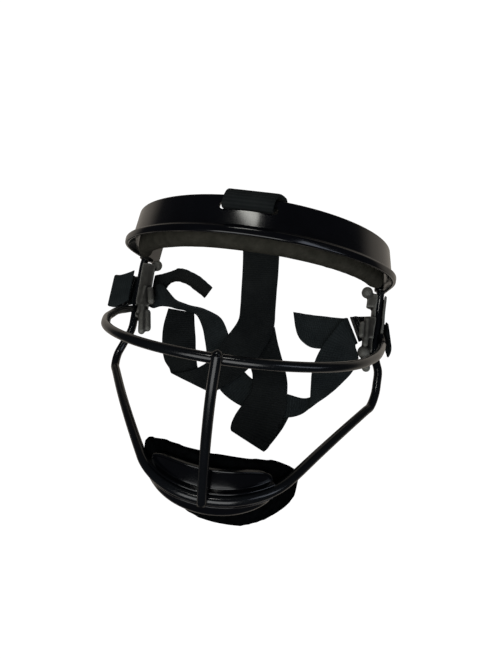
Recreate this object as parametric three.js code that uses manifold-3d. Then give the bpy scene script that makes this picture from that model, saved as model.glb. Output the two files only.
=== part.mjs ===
// A softball fielder's mask lying face up on its back.
// Millimetres. +X is to the right of someone looking into the face opening, +Y points
// from the chin to the forehead and +Z points up, the way the face looks.
// The surface that the mask lies on is z = 0.

import * as THREE from 'three';
import { mergeVertices } from 'three/addons/utils/BufferGeometryUtils.js';
import Module from 'manifold-3d';

// ---------------------------------------------------------------- driving dimensions

const GAP = 0.3;                 // clearance left between touching pieces

const WIRE = 5.0;                // coated steel wire of the ring and the bar, diameter
const JAW_WIRE = 5.7;            // the heavier wire of the jaw and the posts
const WIRE_SIDES = 10;           // flats round the wire
const BORE = JAW_WIRE / 2 + GAP + 0.3;  // radius of a hole that a post runs through

// The brow band, the cheek ring and the jaw wire are each bent in a plane of their own.
// A plane is told by where its own origin lies in the middle plane, and by how far its
// forward direction is tipped from straight up towards the chin.
const BAND_PLANE = { y: 82.5, z: 28.5, tip: 23.3 };
const RING_PLANE = { y: 14.7, z: 53.9, tip: 34.8 };
const JAW_PLANE = { y: 0, z: 2.65, tip: 54.6 };

// Brow band: half an ellipse with straight legs.
const BAND_HALF_WIDTH = 90;
const BAND_SKEW = 2.6;           // its legs are pushed this far to the right of its front
const BAND_REACH = 100;          // centre of the ellipse to the front
const BAND_LEG = 28.69;          // straight leg behind the ellipse
const BAND_HEIGHT = 17.2;        // step line to top edge
const BAND_LEAN = { front: 3.6, left: 2.0, right: 3.6 };  // how far the top edge leans in
const BAND_SHOULDER = 0.8;       // how far the shoulders stand out from the ellipse
const BAND_WALL = 2.4;
const LIP_FLARE = 4.4;           // how far the lip stands out
const LIP_TAPER = 3.0;           // how much less it stands out at the ends
const LIP_DROP = 5.5;            // how far the lip hangs below the step
const LIP_WALL = 2.2;
const SLOT_HEIGHT = 4.4;
const SLOT_BELOW_TOP = 6.3;      // middle of the slot under the top edge
const SLOT_LENGTH = 31;
const SOCKET_RADIUS = 4.6;       // boss at each end of the band that a post plugs into

// Brow pad: foam strip lining the band.
const PAD_THICK = 11;
const PAD_TOP = 8;
const PAD_BOTTOM = -11.2;
const PAD_ARC = 84;              // degrees each side of the front

// Cheek ring: part of an ellipse, then a leg down to each post. A leg is told by places
// across and forward in the ring's plane, and then by places in space where it hooks on.
const RING_HALF_WIDTH = 79.5;
const RING_REACH = 78;           // centre of the ellipse to the front
const RING_ARC = 70;             // degrees each side of the front
const RING_LEG = {
  left: [[80.2, 12.5], [83.0, 1.0], [86.3, -15.6]],
  right: [[80.4, 12.0], [86.0, -9.0], [91.6, -36.0]],
};
const RING_HOOK = {
  left: [[88.2, 34.0, 24.0], [89.6, 41.2, 12.0], [89.2, 44.6, 6.4]],
  right: [[94.2, 41.6, 12.6], [94.6, 46.4, 8.8], [93.6, 51.2, 7.6]],
};

// Jaw wire: an arc round the chin with legs to the bends by the ears.
const JAW_RADIUS = 50;
const JAW_ARC = 58.5;            // degrees each side of the front
const JAW_REACH = 102.5;         // bends to the front
const JAW_BOW = { left: 1.2, right: -0.4 };  // how far a leg bows out

// Posts: from the bends up to the ends of the brow band. Here and in the tables of the
// hooks and lobes, x is counted outwards on both sides.
const POST = {
  left: [
    [92.7, 0.2, 2.7], [92.4, 7.5, 2.85], [90.9, 14.7, 3.2], [89.5, 20.6, 3.5], [88.1, 25.6, 3.8],
    [87.8, 30.5, 4.05], [88.5, 37.4, 4.3], [89.4, 44.0, 4.7], [90.4, 52.0, 5.2], [91.3, 60.0, 5.7],
    [92.2, 68.0, 6.2], [92.9, 76.0, 7.3], [93.2, 84.0, 8.8], [91.8, 92.0, 11.2], [89.6, 98.0, 13.4],
  ],
  right: [
    [91.9, 0.2, 2.7], [93.0, 7.7, 2.8], [93.8, 16.1, 3.1], [94.0, 25.0, 3.5], [92.3, 30.8, 4.0],
    [90.6, 37.4, 4.3], [90.4, 44.0, 4.7], [90.6, 52.0, 5.2], [91.2, 60.0, 5.7], [91.2, 68.0, 6.2],
    [91.5, 84.0, 8.8], [90.6, 98.0, 13.4],
  ],
};

const BAR_STANDOFF = 4.1;        // centre bar in front of the two wires that it joins
const BAR_ABOVE = 6;             // centre bar beyond the cheek ring
const BAR_BELOW = 1;             // centre bar beyond the jaw wire
const BAR_ASIDE = 1.6;           // top of the centre bar to the right of the middle
const BAR_BULGE = 2.5;

// Chin cup: a shell clipped over the front of the jaw wire, with a fleece pad behind it.
const CUP_FRAME = { y: -83.3, z: 61.8, tip: 41.1 };
const CUP_HALF_WIDTH = 34;
const CUP_TOP = { middle: 16, tip: 5.6 };
const CUP_BOTTOM = { middle: -10.3, tip: -6.4 };
const CUP_BACK = 4.9;            // back of the shell behind the middle of the wire
const CHIN_PAD_THICK = 9;
const CHIN_PAD_ARC = 74;         // degrees each side of its middle
const CHIN_PAD_TURN = 6.5;         // its middle is this far round to the right
const CHIN_PAD_HALF_HEIGHT = 22;
const CHIN_PAD_TAPER = { left: 0.24, right: 0.1 }; // its left end is lower than its right end
const CHIN_PAD_MIDDLE = -0.2;

// Bumpers: rubber sleeves on the posts, with a web towards the face that carries lobes.
const SLEEVE = { from: 37, to: 82, outer: 4.6, inner: 5.4 };
const WEBS = { left: [[37, 82]], right: [[37, 64], [72, 82]] };  // runs of the web
const WEB_REACH = { left: 10.4, right: 9.4 };
const MOUTH = { left: [-5.6, 1.5], right: [-2.6, 2.3] };  // where the post shows

// Webbing
const WEB_THICK = 1.8;

// ---------------------------------------------------------------- helpers

const wasm = await Module();
wasm.setup();

const rad = THREE.MathUtils.degToRad;
const v3 = (x, y, z) => new THREE.Vector3(x, y, z);

// Directions of a tipped plane: forward (away from the head) and up (to the forehead).
function forwardOf(plane) {
  return v3(0, -Math.sin(rad(plane.tip)), Math.cos(rad(plane.tip)));
}

function upOf(plane) {
  return v3(0, Math.cos(rad(plane.tip)), Math.sin(rad(plane.tip)));
}

// A point of a tipped plane: x across, s forward, u up out of the plane.
function inPlane(plane, x, s, u = 0) {
  return v3(x, plane.y, plane.z).addScaledVector(forwardOf(plane), s).addScaledVector(upOf(plane), u);
}

function solidOf(geometry) {
  const bare = geometry.clone();
  bare.deleteAttribute('normal');
  bare.deleteAttribute('uv');
  const merged = mergeVertices(bare, 1e-4);
  return new wasm.Manifold(new wasm.Mesh({
    numProp: 3,
    vertProperties: new Float32Array(merged.attributes.position.array),
    triVerts: new Uint32Array(merged.index.array),
  }));
}

function geometryOf(solid) {
  const mesh = solid.getMesh();
  const geometry = new THREE.BufferGeometry();
  const places = [];
  for (let i = 0; i < mesh.vertProperties.length; i += mesh.numProp) {
    places.push(mesh.vertProperties[i], mesh.vertProperties[i + 1], mesh.vertProperties[i + 2]);
  }
  geometry.setAttribute('position', new THREE.Float32BufferAttribute(places, 3));
  geometry.setIndex(Array.from(mesh.triVerts));
  geometry.computeVertexNormals();
  return geometry;
}

function volumeOf(places, faces) {
  let sum = 0;
  for (let i = 0; i < faces.length; i += 3) {
    const [a, b, c] = [places[faces[i]], places[faces[i + 1]], places[faces[i + 2]]];
    sum += a.dot(b.clone().cross(c)) / 6;
  }
  return sum;
}

// A closed solid through a row of rings of points, all rings with the same count. The ends
// are capped, or joined to each other where the row runs round.
function loft(rings, round = false) {
  const count = rings[0].length;
  const places = rings.flat();
  const faces = [];
  for (let r = 0; r < rings.length - (round ? 0 : 1); r++) {
    for (let i = 0; i < count; i++) {
      const j = (i + 1) % count;
      const here = r * count;
      const next = (r + 1) % rings.length * count;
      faces.push(here + i, here + j, next + j, here + i, next + j, next + i);
    }
  }
  const last = (rings.length - 1) * count;
  if (!round) {
    for (const [a, b, c] of capFaces(rings[0])) faces.push(c, b, a);
    for (const [a, b, c] of capFaces(rings[rings.length - 1])) faces.push(last + a, last + b, last + c);
  }
  if (volumeOf(places, faces) < 0) faces.reverse();
  const geometry = new THREE.BufferGeometry();
  geometry.setAttribute('position', new THREE.Float32BufferAttribute(places.flatMap((p) => p.toArray()), 3));
  geometry.setIndex(faces);
  geometry.computeVertexNormals();
  return geometry;
}

// Triangles over the inside of a flat ring of points, wound as the ring runs.
function capFaces(ring) {
  const normal = v3(0, 0, 0);
  ring.forEach((p, i) => normal.add(p.clone().cross(ring[(i + 1) % ring.length])));
  normal.normalize();
  const across = ring[1].clone().sub(ring[0]).normalize();
  const along = normal.clone().cross(across);
  const flat = ring.map((p) => new THREE.Vector2(p.dot(across), p.dot(along)));
  return THREE.ShapeUtils.triangulateShape(flat, []);
}

// A round wire along a row of points.
function wireAlong(points, steps, radius = WIRE / 2) {
  const round = new THREE.Shape();
  round.absarc(0, 0, radius, 0, Math.PI * 2, false);
  return new THREE.ExtrudeGeometry(round, {
    steps,
    curveSegments: WIRE_SIDES / 2,
    bevelEnabled: false,
    extrudePath: new THREE.CatmullRomCurve3(points, false, 'centripetal'),
  });
}

const mirrored = (points) => points.map((p) => v3(-p.x, p.y, p.z));

function piece(name, geometry, material) {
  const mesh = new THREE.Mesh(geometry, material);
  mesh.name = name;
  return mesh;
}

const finish = (color, roughness, metalness = 0) => (
  new THREE.MeshStandardMaterial({ color, roughness, metalness })
);

// ---------------------------------------------------------------- wire cage

const rowsOf = (table, side) => (side < 0 ? table.left : table.right);
const placesOf = (table, side) => rowsOf(table, side).map((row) => v3(...row));

// A half of the cheek ring, from the front round to the post, with x counted outwards.
function ringHalf(side) {
  const points = [];
  const arcSteps = 9;
  for (let i = 0; i <= arcSteps; i++) {
    const a = rad(RING_ARC * i / arcSteps);
    points.push(inPlane(RING_PLANE, RING_HALF_WIDTH * Math.sin(a), RING_REACH * Math.cos(a)));
  }
  for (const [x, s] of rowsOf(RING_LEG, side)) points.push(inPlane(RING_PLANE, x, s));
  return [...points, ...placesOf(RING_HOOK, side)];
}

// A half of the jaw wire, from the front round to the band end of the post.
function jawHalf(side) {
  const points = [];
  const arcSteps = 7;
  for (let i = 0; i <= arcSteps; i++) {
    const a = rad(JAW_ARC * i / arcSteps);
    points.push(inPlane(JAW_PLANE, JAW_RADIUS * Math.sin(a), JAW_REACH - JAW_RADIUS * (1 - Math.cos(a))));
  }
  const end = points[points.length - 1];
  const [corner, ...post] = placesOf(POST, side);
  const bow = rowsOf(JAW_BOW, side);
  for (const part of [0.3, 0.6, 0.9, 0.96]) {
    const place = end.clone().lerp(corner, part);
    points.push(place.setX(place.x + bow * Math.sin(Math.PI * part)));
  }
  return [...points, ...post];
}

const bothHalves = (half) => [...mirrored(half(-1).slice(1)).reverse(), ...half(1)];

function centreBar() {
  const top = inPlane(RING_PLANE, 0, RING_REACH);
  const bottom = inPlane(JAW_PLANE, 0, JAW_REACH);
  const down = bottom.clone().sub(top).normalize();
  const out = v3(0, down.z, -down.y);
  const rows = [0, 0.25, 0.5, 0.75, 1].map((part) => (
    top.clone().addScaledVector(down, -BAR_ABOVE)
      .lerp(bottom.clone().addScaledVector(down, BAR_BELOW), part)
      .addScaledVector(out, BAR_STANDOFF + BAR_BULGE * Math.sin(Math.PI * part))
      .setX(BAR_ASIDE * (1 - part) ** 4)
  ));
  return wireAlong(rows, 10);
}

function wireCage() {
  const ring = solidOf(wireAlong(bothHalves(ringHalf), 50));
  const jaw = solidOf(wireAlong(bothHalves(jawHalf), 66, JAW_WIRE / 2));
  const bar = solidOf(centreBar());
  return geometryOf(ring.add(jaw).add(bar));
}

// ---------------------------------------------------------------- posts

// The line down the middle of a post, with x counted outwards.
const postCurve = (side) => new THREE.CatmullRomCurve3(placesOf(POST, side), false, 'centripetal');

// The middle of a post where it passes a given y.
function postAt(side, y) {
  const curve = postCurve(side);
  let low = 0;
  let high = 1;
  for (let i = 0; i < 24; i++) {
    const part = (low + high) / 2;
    if (curve.getPoint(part).y < y) low = part;
    else high = part;
  }
  return curve.getPoint(low);
}

// The hole that a post leaves in a piece round it, run on a little beyond its end.
function postBore(side) {
  const points = placesOf(POST, side).map((p) => v3(side * p.x, p.y, p.z));
  const [before, end] = points.slice(-2);
  points.push(end.clone().lerp(before, -0.06));
  return wireAlong(points, 20, BORE);
}

// The boss at an end of the brow band.
function socket(side) {
  const points = [86.5, 90, 94, 97.8].map((y) => postAt(side, y)).map((p) => v3(side * p.x, p.y, p.z));
  const [before, end] = points.slice(-2);
  points.push(end.clone().lerp(before, -0.6));
  return wireAlong(points, 5, SOCKET_RADIUS);
}

// ---------------------------------------------------------------- brow band and pad

// The line that the band follows, as stations with a place and an outward direction.
function bandStations(arc, arcSteps, leg = 0, legSteps = 0) {
  const half = [];
  for (let i = 0; i <= arcSteps; i++) {
    const a = rad(arc * i / arcSteps);
    const out = new THREE.Vector2(Math.sin(a) / BAND_HALF_WIDTH, Math.cos(a) / BAND_REACH).normalize();
    const shoulder = BAND_SHOULDER * 2 * Math.sin(2 * a) * Math.sin(a) ** 4;
    half.push({
      x: BAND_HALF_WIDTH * Math.sin(a) + shoulder * out.x,
      s: BAND_REACH * Math.cos(a) + shoulder * out.y,
      ox: out.x,
      os: out.y,
    });
  }
  for (let i = 1; i <= legSteps; i++) {
    half.push({ x: BAND_HALF_WIDTH, s: -leg * i / legSteps, ox: 1, os: 0 });
  }
  const other = half.slice(1).map((p) => ({ ...p, x: -p.x, ox: -p.ox })).reverse();
  return [...other, ...half];
}

// Sweeps an outline of (out, up) points along the band's line.
function alongBand(stations, outlineAt) {
  return loft(stations.map((p, i) => outlineAt(p, i).map(({ out, up }) => (
    inPlane(BAND_PLANE, p.x + out * p.ox + skewAt(p.s), p.s + out * p.os, up)
  ))));
}

const skewAt = (s) => BAND_SKEW * (1 - s / BAND_REACH);

// How far the wall is leant in at a height over the step line.
function leanAt(station, up) {
  const end = station.ox < 0 ? BAND_LEAN.left : BAND_LEAN.right;
  const lean = BAND_LEAN.front + (end - BAND_LEAN.front) * station.ox ** 2;
  return -lean * Math.max(up, 0) / BAND_HEIGHT;
}

// How far the lip stands out: less and less behind the shoulders.
function flareAt(station) {
  const behind = THREE.MathUtils.smoothstep(-station.s, -50, 0);
  return LIP_FLARE - LIP_TAPER * behind;
}

function bandOutline(station) {
  const top = BAND_HEIGHT;
  const flare = flareAt(station);
  const lean = (up) => leanAt(station, up);
  return [
    { out: 0, up: 0 },
    { out: lean(top - 0.8), up: top - 0.8 },
    { out: lean(top) - 0.8, up: top },
    { out: lean(top) - BAND_WALL, up: top },
    { out: -BAND_WALL, up: 0 },
    { out: -BAND_WALL, up: -2.0 },
    { out: flare - LIP_WALL - 1.2, up: -LIP_DROP + 1.6 },
    { out: flare - LIP_WALL, up: -LIP_DROP + 0.3 },
    { out: flare - 0.8, up: -LIP_DROP },
    { out: flare, up: -LIP_DROP + 1.2 },
    { out: flare - 0.9, up: -1.6 },
    { out: Math.max(flare - 2.6, 0.4), up: -0.5 },
  ];
}

function browBand() {
  const shell = solidOf(alongBand(bandStations(90, 19, BAND_LEG, 3), bandOutline));
  const half = SLOT_LENGTH / 2 - SLOT_HEIGHT / 2;
  const slot = new THREE.Shape();
  slot.absarc(half, 0, SLOT_HEIGHT / 2, -Math.PI / 2, Math.PI / 2, false);
  slot.absarc(-half, 0, SLOT_HEIGHT / 2, Math.PI / 2, Math.PI * 1.5, false);
  const cutter = new THREE.ExtrudeGeometry(slot, { depth: 24, bevelEnabled: false, curveSegments: 6 });
  cutter.translate(0, 0, -12);
  cutter.applyMatrix4(new THREE.Matrix4().makeBasis(v3(1, 0, 0), upOf(BAND_PLANE), forwardOf(BAND_PLANE)));
  const middle = inPlane(BAND_PLANE, 0, BAND_REACH - 4, BAND_HEIGHT - SLOT_BELOW_TOP);
  cutter.translate(middle.x, middle.y, middle.z);
  let whole = shell.subtract(solidOf(cutter));
  for (const side of [-1, 1]) {
    whole = whole.add(solidOf(socket(side))).subtract(solidOf(postBore(side)));
  }
  return geometryOf(whole);
}

function browPad() {
  const stations = bandStations(PAD_ARC, 16);
  const last = stations.length - 1;
  return alongBand(stations, (station, i) => {
    const fromEnd = Math.min(i, last - i);
    const part = [0.5, 0.82, 0.95, 1][Math.min(fromEnd, 3)];
    const top = PAD_TOP - 3 * (1 - part);
    const bottom = PAD_BOTTOM * (1.55 * part - 0.55);
    const thick = PAD_THICK * part;
    const wall = (up) => leanAt(station, up) - BAND_WALL - GAP - 0.5;
    return [
      { out: wall(0) - 0.5, up: bottom + 2.5 },
      { out: wall(0), up: Math.max(0, bottom + 4) },
      { out: wall(top), up: top - 2 },
      { out: wall(top) - 2, up: top },
      { out: wall(top) - thick + 2, up: top },
      { out: wall(top) - thick, up: top - 2.5 },
      { out: wall(0) - thick, up: bottom + 2.5 },
      { out: wall(0) - thick + 2, up: bottom },
      { out: wall(0) - 2.2, up: bottom },
    ];
  });
}

// ---------------------------------------------------------------- bumpers

// A solid along a post between two y: outline points are told as how far in towards the
// face and how far up from the middle of the wire.
function alongPost(side, from, to, steps, outline) {
  const rings = [];
  for (let i = 0; i <= steps; i++) {
    const middle = postAt(side, from + (to - from) * i / steps);
    rings.push(outline.map(([inward, up]) => v3(side * (middle.x - inward), middle.y, middle.z + up)));
  }
  return loft(rings);
}

// A rounded bar with its ends at two places.
function lobe(side, start, end, radius) {
  const length = start.distanceTo(end);
  const capsule = new THREE.CapsuleGeometry(radius, Math.max(length - 2 * radius, 0.5), 3, 8);
  const along = end.clone().sub(start).normalize();
  capsule.applyQuaternion(new THREE.Quaternion().setFromUnitVectors(v3(0, 1, 0), along));
  const middle = start.clone().add(end).multiplyScalar(0.5);
  capsule.translate(middle.x, middle.y, middle.z);
  if (side > 0) return solidOf(capsule);
  return solidOf(capsule).mirror([1, 0, 0]);
}

// Lobes on the face side of a bumper: their two ends and their radius.
const LOBES = {
  left: [
    { from: [87.6, 78.0, 10.2], to: [87.8, 83.4, 11.2], radius: 2.0 },
    { from: [82.0, 80.8, 9.8], to: [81.4, 84.4, 10.2], radius: 4.0 },
    { from: [85.0, 63.0, 11.6], to: [84.4, 39.0, 9.6], radius: 1.9 },
    { from: [81.4, 62.0, 11.4], to: [76.4, 48.0, 11.0], radius: 2.5 },
    { from: [83.6, 48.0, 9.8], to: [78.2, 23.8, 7.2], radius: 2.6 },
    { from: [79.2, 44.0, 8.6], to: [74.6, 27.0, 6.8], radius: 2.7 },
  ],
  right: [
    { from: [87.2, 78.0, 10.2], to: [87.4, 83.4, 11.2], radius: 2.0 },
    { from: [81.4, 82.0, 10.0], to: [81.8, 85.6, 10.8], radius: 4.2 },
    { from: [83.0, 61.6, 11.4], to: [82.8, 39.0, 10.2], radius: 2.0 },
    { from: [79.8, 58.4, 11.2], to: [79.8, 45.4, 10.6], radius: 2.1 },
    { from: [82.6, 39.4, 6.8], to: [82.9, 33.8, 6.0], radius: 4.4 },
    { from: [83.6, 34.4, 5.4], to: [86.2, 23.0, 3.6], radius: 3.0 },
  ],
};

function bumper(side) {
  const { from, to, outer, inner } = SLEEVE;
  const web = rowsOf(WEB_REACH, side);
  const runs = rowsOf(WEBS, side);
  let whole = solidOf(alongPost(side, from, to, 8, [
    [-outer + 1.6, -4.2], [-outer, -2.6], [-outer, 2.4], [-outer + 1.4, 4.4], [inner - 2.0, 4.4],
    [inner - 0.6, 3.0], [inner - 0.6, -2.6], [inner - 2.0, -4.2],
  ]));
  for (const [start, end] of runs) {
    whole = whole.add(solidOf(alongPost(side, start, end, 6, [
      [-1.0, 4.2], [inner - 1.2, 4.6], [inner + 1.0, 3.6], [web, 3.4], [web, 0.4], [inner, -1.0],
      [inner - 1.6, -4.2], [-1.0, -4.0],
    ])));
  }
  whole = whole.add(solidOf(alongPost(side, LOOP.from - 4, runs[0][1] - 1, 6, [
    [0, 3.0], [0, 7.1], [inner + 1.0, 7.1], [inner + 2.4, 5.9],
    [web + 1.2, 5.6], [web + 1.7, 4.6], [web, 3.4], [inner + 1.4, 3.0],
  ])));
  for (const row of rowsOf(LOBES, side)) {
    whole = whole.add(lobe(side, v3(...row.from), v3(...row.to), row.radius));
  }
  const strapWay = solidOf(alongPost(side, LOOP.from - GAP - 0.4, LOOP.to + GAP + 0.4, 6, [
    [-outer - 4, -12], [-outer - 4, -2.95], [web + 4, -2.95], [web + 4, -12],
  ]));
  const [near, far] = rowsOf(MOUTH, side);
  const low = side < 0 ? -12 : 0;
  const mouth = solidOf(alongPost(side, from - 5, to + 5, 9, [
    [near, low], [near, 12], [far, 12], [far, 0], [far - 1, low],
  ]));
  const leg = ringHalf(side).slice(-5).map((p) => v3(side * p.x, p.y, p.z));
  leg.push(leg[4].clone().lerp(leg[3], -0.2));
  const branch = solidOf(wireAlong(leg, 10, WIRE / 2 + GAP + 0.7));
  return geometryOf(whole.subtract(strapWay).subtract(solidOf(postBore(side))).subtract(mouth).subtract(branch));
}

// ---------------------------------------------------------------- chin cup and pad

// The cup is told in its own frame on the jaw wire: out away from the chin, high towards
// the forehead, both from the middle of the wire at an angle round its arc.
function onJaw(angle, out, high, radius = JAW_RADIUS) {
  const back = JAW_RADIUS * (1 - Math.cos(angle));
  const wire = inPlane(JAW_PLANE, JAW_RADIUS * Math.sin(angle), JAW_REACH - back);
  const outward = forwardOf(CUP_FRAME).multiplyScalar(Math.cos(angle)).add(v3(Math.sin(angle), 0, 0));
  return wire.addScaledVector(outward, out).addScaledVector(upOf(CUP_FRAME), high);
}

function chinCup() {
  const steps = 14;
  const reach = Math.asin(CUP_HALF_WIDTH / JAW_RADIUS);
  const rings = [];
  for (let i = 0; i <= steps; i++) {
    const part = 2 * i / steps - 1;
    const round = Math.sqrt(Math.max(1 - Math.abs(part) ** 2.6, 0));
    const top = CUP_TOP.tip + (CUP_TOP.middle - CUP_TOP.tip) * round;
    const bottom = CUP_BOTTOM.tip + (CUP_BOTTOM.middle - CUP_BOTTOM.tip) * round;
    const low = bottom + 1.1;
    rings.push([
      [-CUP_BACK + 0.5, top], [-2.2, top], [-1.5, top - 0.6], [-1.5, top - 0.9],
      [-2.4, Math.max(top - 1.8, 4.6)], [-2.4, 4.5], [0.5, 4.2], [0.9, 3.8], [0.3, 3.25],
      [-1.7, 3.0], [-3.25, 1.4], [-3.25, -1.4], [-1.7, -3.0],
      [0.3, -3.25], [0.7, -3.7], [0.3, -4.3], [-0.4, low + 0.7], [-1.3, low], [-2.6, bottom],
      [-CUP_BACK + 0.5, bottom], [-CUP_BACK, bottom + 0.6], [-CUP_BACK, top - 0.6],
    ].map(([out, high]) => onJaw(part * reach, out, high)));
  }
  return loft(rings);
}

function chinPad() {
  const steps = 16;
  const rings = [];
  for (let i = 0; i <= steps; i++) {
    const part = 2 * i / steps - 1;
    const round = Math.sqrt(Math.max(1 - Math.abs(part * 0.985) ** 2.4, 0));
    const taper = part < 0 ? CHIN_PAD_TAPER.left : CHIN_PAD_TAPER.right;
    const half = CHIN_PAD_HALF_HEIGHT * round * (1 + taper * part);
    const thick = CHIN_PAD_THICK * (0.45 + 0.55 * round);
    const curl = part < 0 ? 9 : 14;
    const front = -CUP_BACK - GAP - 0.5 + Math.max(Math.abs(part) - 0.62, 0) * curl;
    const back = front - thick;
    const mid = CHIN_PAD_MIDDLE - 8 * part - 8.2 * part ** 2;
    rings.push([
      [front - thick * 0.35, mid + half], [front - thick * 0.08, mid + half * 0.86], [front, mid + half * 0.5],
      [front, mid], [front, mid - half * 0.5], [front - thick * 0.08, mid - half * 0.86],
      [front - thick * 0.35, mid - half], [back + thick * 0.2, mid - half * 0.93],
      [back, mid - half * 0.6], [back, mid + half * 0.6], [back + thick * 0.2, mid + half * 0.93],
    ].map(([out, high]) => onJaw(rad(CHIN_PAD_ARC * part + CHIN_PAD_TURN), out, high)));
  }
  return loft(rings);
}

// ---------------------------------------------------------------- webbing

// A strap through rows of edge places: a and b are its two edges where a line runs
// straight across it.
function strap(rows, steps, round = false, thick = WEB_THICK) {
  const edge = (key) => new THREE.CatmullRomCurve3(rows.map((row) => v3(...row[key])), round, 'centripetal');
  const middle = new THREE.CatmullRomCurve3(rows.map((row) => v3(...row.a).lerp(v3(...row.b), 0.5)), round, 'centripetal');
  const sides = { a: edge('a'), b: edge('b') };
  const rings = [];
  for (let i = 0; i < steps + (round ? 0 : 1); i++) {
    const part = i / steps;
    const a = sides.a.getPoint(part);
    const b = sides.b.getPoint(part);
    const across = b.clone().sub(a).normalize();
    const normal = middle.getTangent(part).cross(across).normalize().multiplyScalar(thick / 2);
    rings.push([a.clone().add(normal), b.clone().add(normal), b.clone().sub(normal), a.clone().sub(normal)]);
  }
  return loft(rings, round);
}

// A place over the middle of the brow band: s forward from the middle of its arc, u up.
const overBand = (x, s, u) => inPlane(BAND_PLANE, x, s, u).toArray();

// Top strap: from its end sewn behind the brow band out through the slot, over the top
// edge, down behind the head opening to the surface, then down to the left over the back
// strap, folded under and up again beside it.
const TOP_STRAP = [
  { a: overBand(-13.0, 90.6, 16.0), b: overBand(14.6, 90.6, 16.0) },
  { a: overBand(-13.2, 90.9, 14.0), b: overBand(14.2, 90.9, 14.0) },
  { a: overBand(-13.6, 92.4, 10.9), b: overBand(13.4, 92.4, 10.9) },
  { a: overBand(-13.9, 95.4, 10.2), b: overBand(13.2, 95.4, 10.2) },
  { a: overBand(-14.0, 98.6, 10.3), b: overBand(13.2, 98.6, 10.3) },
  { a: overBand(-13.8, 99.9, 12.5), b: overBand(13.4, 99.9, 12.5) },
  { a: overBand(-13.2, 99.2, 16.2), b: overBand(14.0, 99.2, 16.2) },
  { a: overBand(-12.2, 96.4, 19.2), b: overBand(15.4, 96.4, 19.2) },
  { a: overBand(-9.4, 91.6, 19.4), b: overBand(18.6, 91.6, 19.4) },
  { a: overBand(-9.0, 84.0, 18.4), b: overBand(19.0, 84.0, 18.4) },
  { a: overBand(-10.0, 70.0, 20.0), b: overBand(18.0, 70.0, 20.0) },
  { a: overBand(-12.5, 50.0, 25.0), b: overBand(15.5, 50.0, 25.0) },
  { a: [-14.6, 97.0, 63.0], b: [13.4, 97.0, 63.0] },
  { a: [-16.0, 102.0, 44.0], b: [12.0, 102.5, 44.0] },
  { a: [-16.0, 102.5, 29.0], b: [12.0, 103.5, 29.5] },
  { a: [-15.4, 97.5, 17.0], b: [12.6, 99.0, 17.6] },
  { a: [-14.2, 86.5, 9.0], b: [13.6, 89.0, 9.6] },
  { a: [-12.8, 73.5, 4.6], b: [14.3, 78.5, 4.8] },
  { a: [-11.2, 60.5, 3.2], b: [15.6, 63.5, 3.2] },
  { a: [-10.2, 47.5, 6.0], b: [16.8, 44.5, 4.4] },
  { a: [-16.2, 28.6, 10.2], b: [10.4, 21.4, 6.3] },
  { a: [-21.4, 16.6, 8.4], b: [3.6, 9.6, 6.2] },
  { a: [-26.8, 9.2, 6.6], b: [-3.6, 1.6, 5.2] },
  { a: [-36.0, 3.4, 4.6], b: [-11.4, -5.6, 4.4] },
  { a: [-46.4, -0.1, 3.6], b: [-15.6, -8.6, 3.6] },
  { a: [-50.6, 0.6, 2.2], b: [-18.4, -9.2, 2.2] },
  { a: [-52.8, 3.6, 1.0], b: [-22.4, -5.6, 1.0] },
  { a: [-57.4, 8.4, 1.0], b: [-30.8, 4.2, 1.0] },
  { a: [-61.2, 16.0, 1.0], b: [-36.4, 18.9, 1.0] },
  { a: [-64.2, 26.0, 1.0], b: [-39.2, 29.7, 1.0] },
  { a: [-66.0, 37.0, 1.0], b: [-42.2, 39.6, 1.0] },
  { a: [-66.2, 51.2, 1.0], b: [-45.2, 50.4, 1.0] },
];

// Right yoke strap: sewn under the top strap, down over the back strap, folded under.
const RIGHT_YOKE = [
  { a: [-6.4, 50.0, 1.0], b: [17.4, 48.6, 1.0] },
  { a: [-1.0, 36.0, 1.0], b: [21.4, 36.6, 1.0] },
  { a: [3.0, 22.0, 1.8], b: [26.6, 23.8, 1.4] },
  { a: [5.2, 13.4, 3.7], b: [29.8, 15.6, 3.0] },
  { a: [8.0, 5.6, 6.0], b: [32.8, 5.0, 5.9] },
  { a: [8.6, -6.0, 6.0], b: [34.0, -6.0, 6.0] },
  { a: [4.6, -15.6, 5.9], b: [34.2, -15.8, 6.0] },
  { a: [0.6, -25.0, 4.9], b: [31.6, -27.2, 5.2] },
  { a: [-0.4, -31.2, 3.9], b: [26.6, -41.0, 3.9] },
  { a: [0.2, -32.8, 2.4], b: [24.8, -43.0, 2.4] },
  { a: [1.6, -28.4, 1.15], b: [27.6, -38.2, 1.15] },
  { a: [6.8, -20.6, 1.0], b: [34.0, -26.2, 1.0] },
  { a: [12.0, -12.6, 1.0], b: [37.0, -18.0, 1.0] },
];

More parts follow.
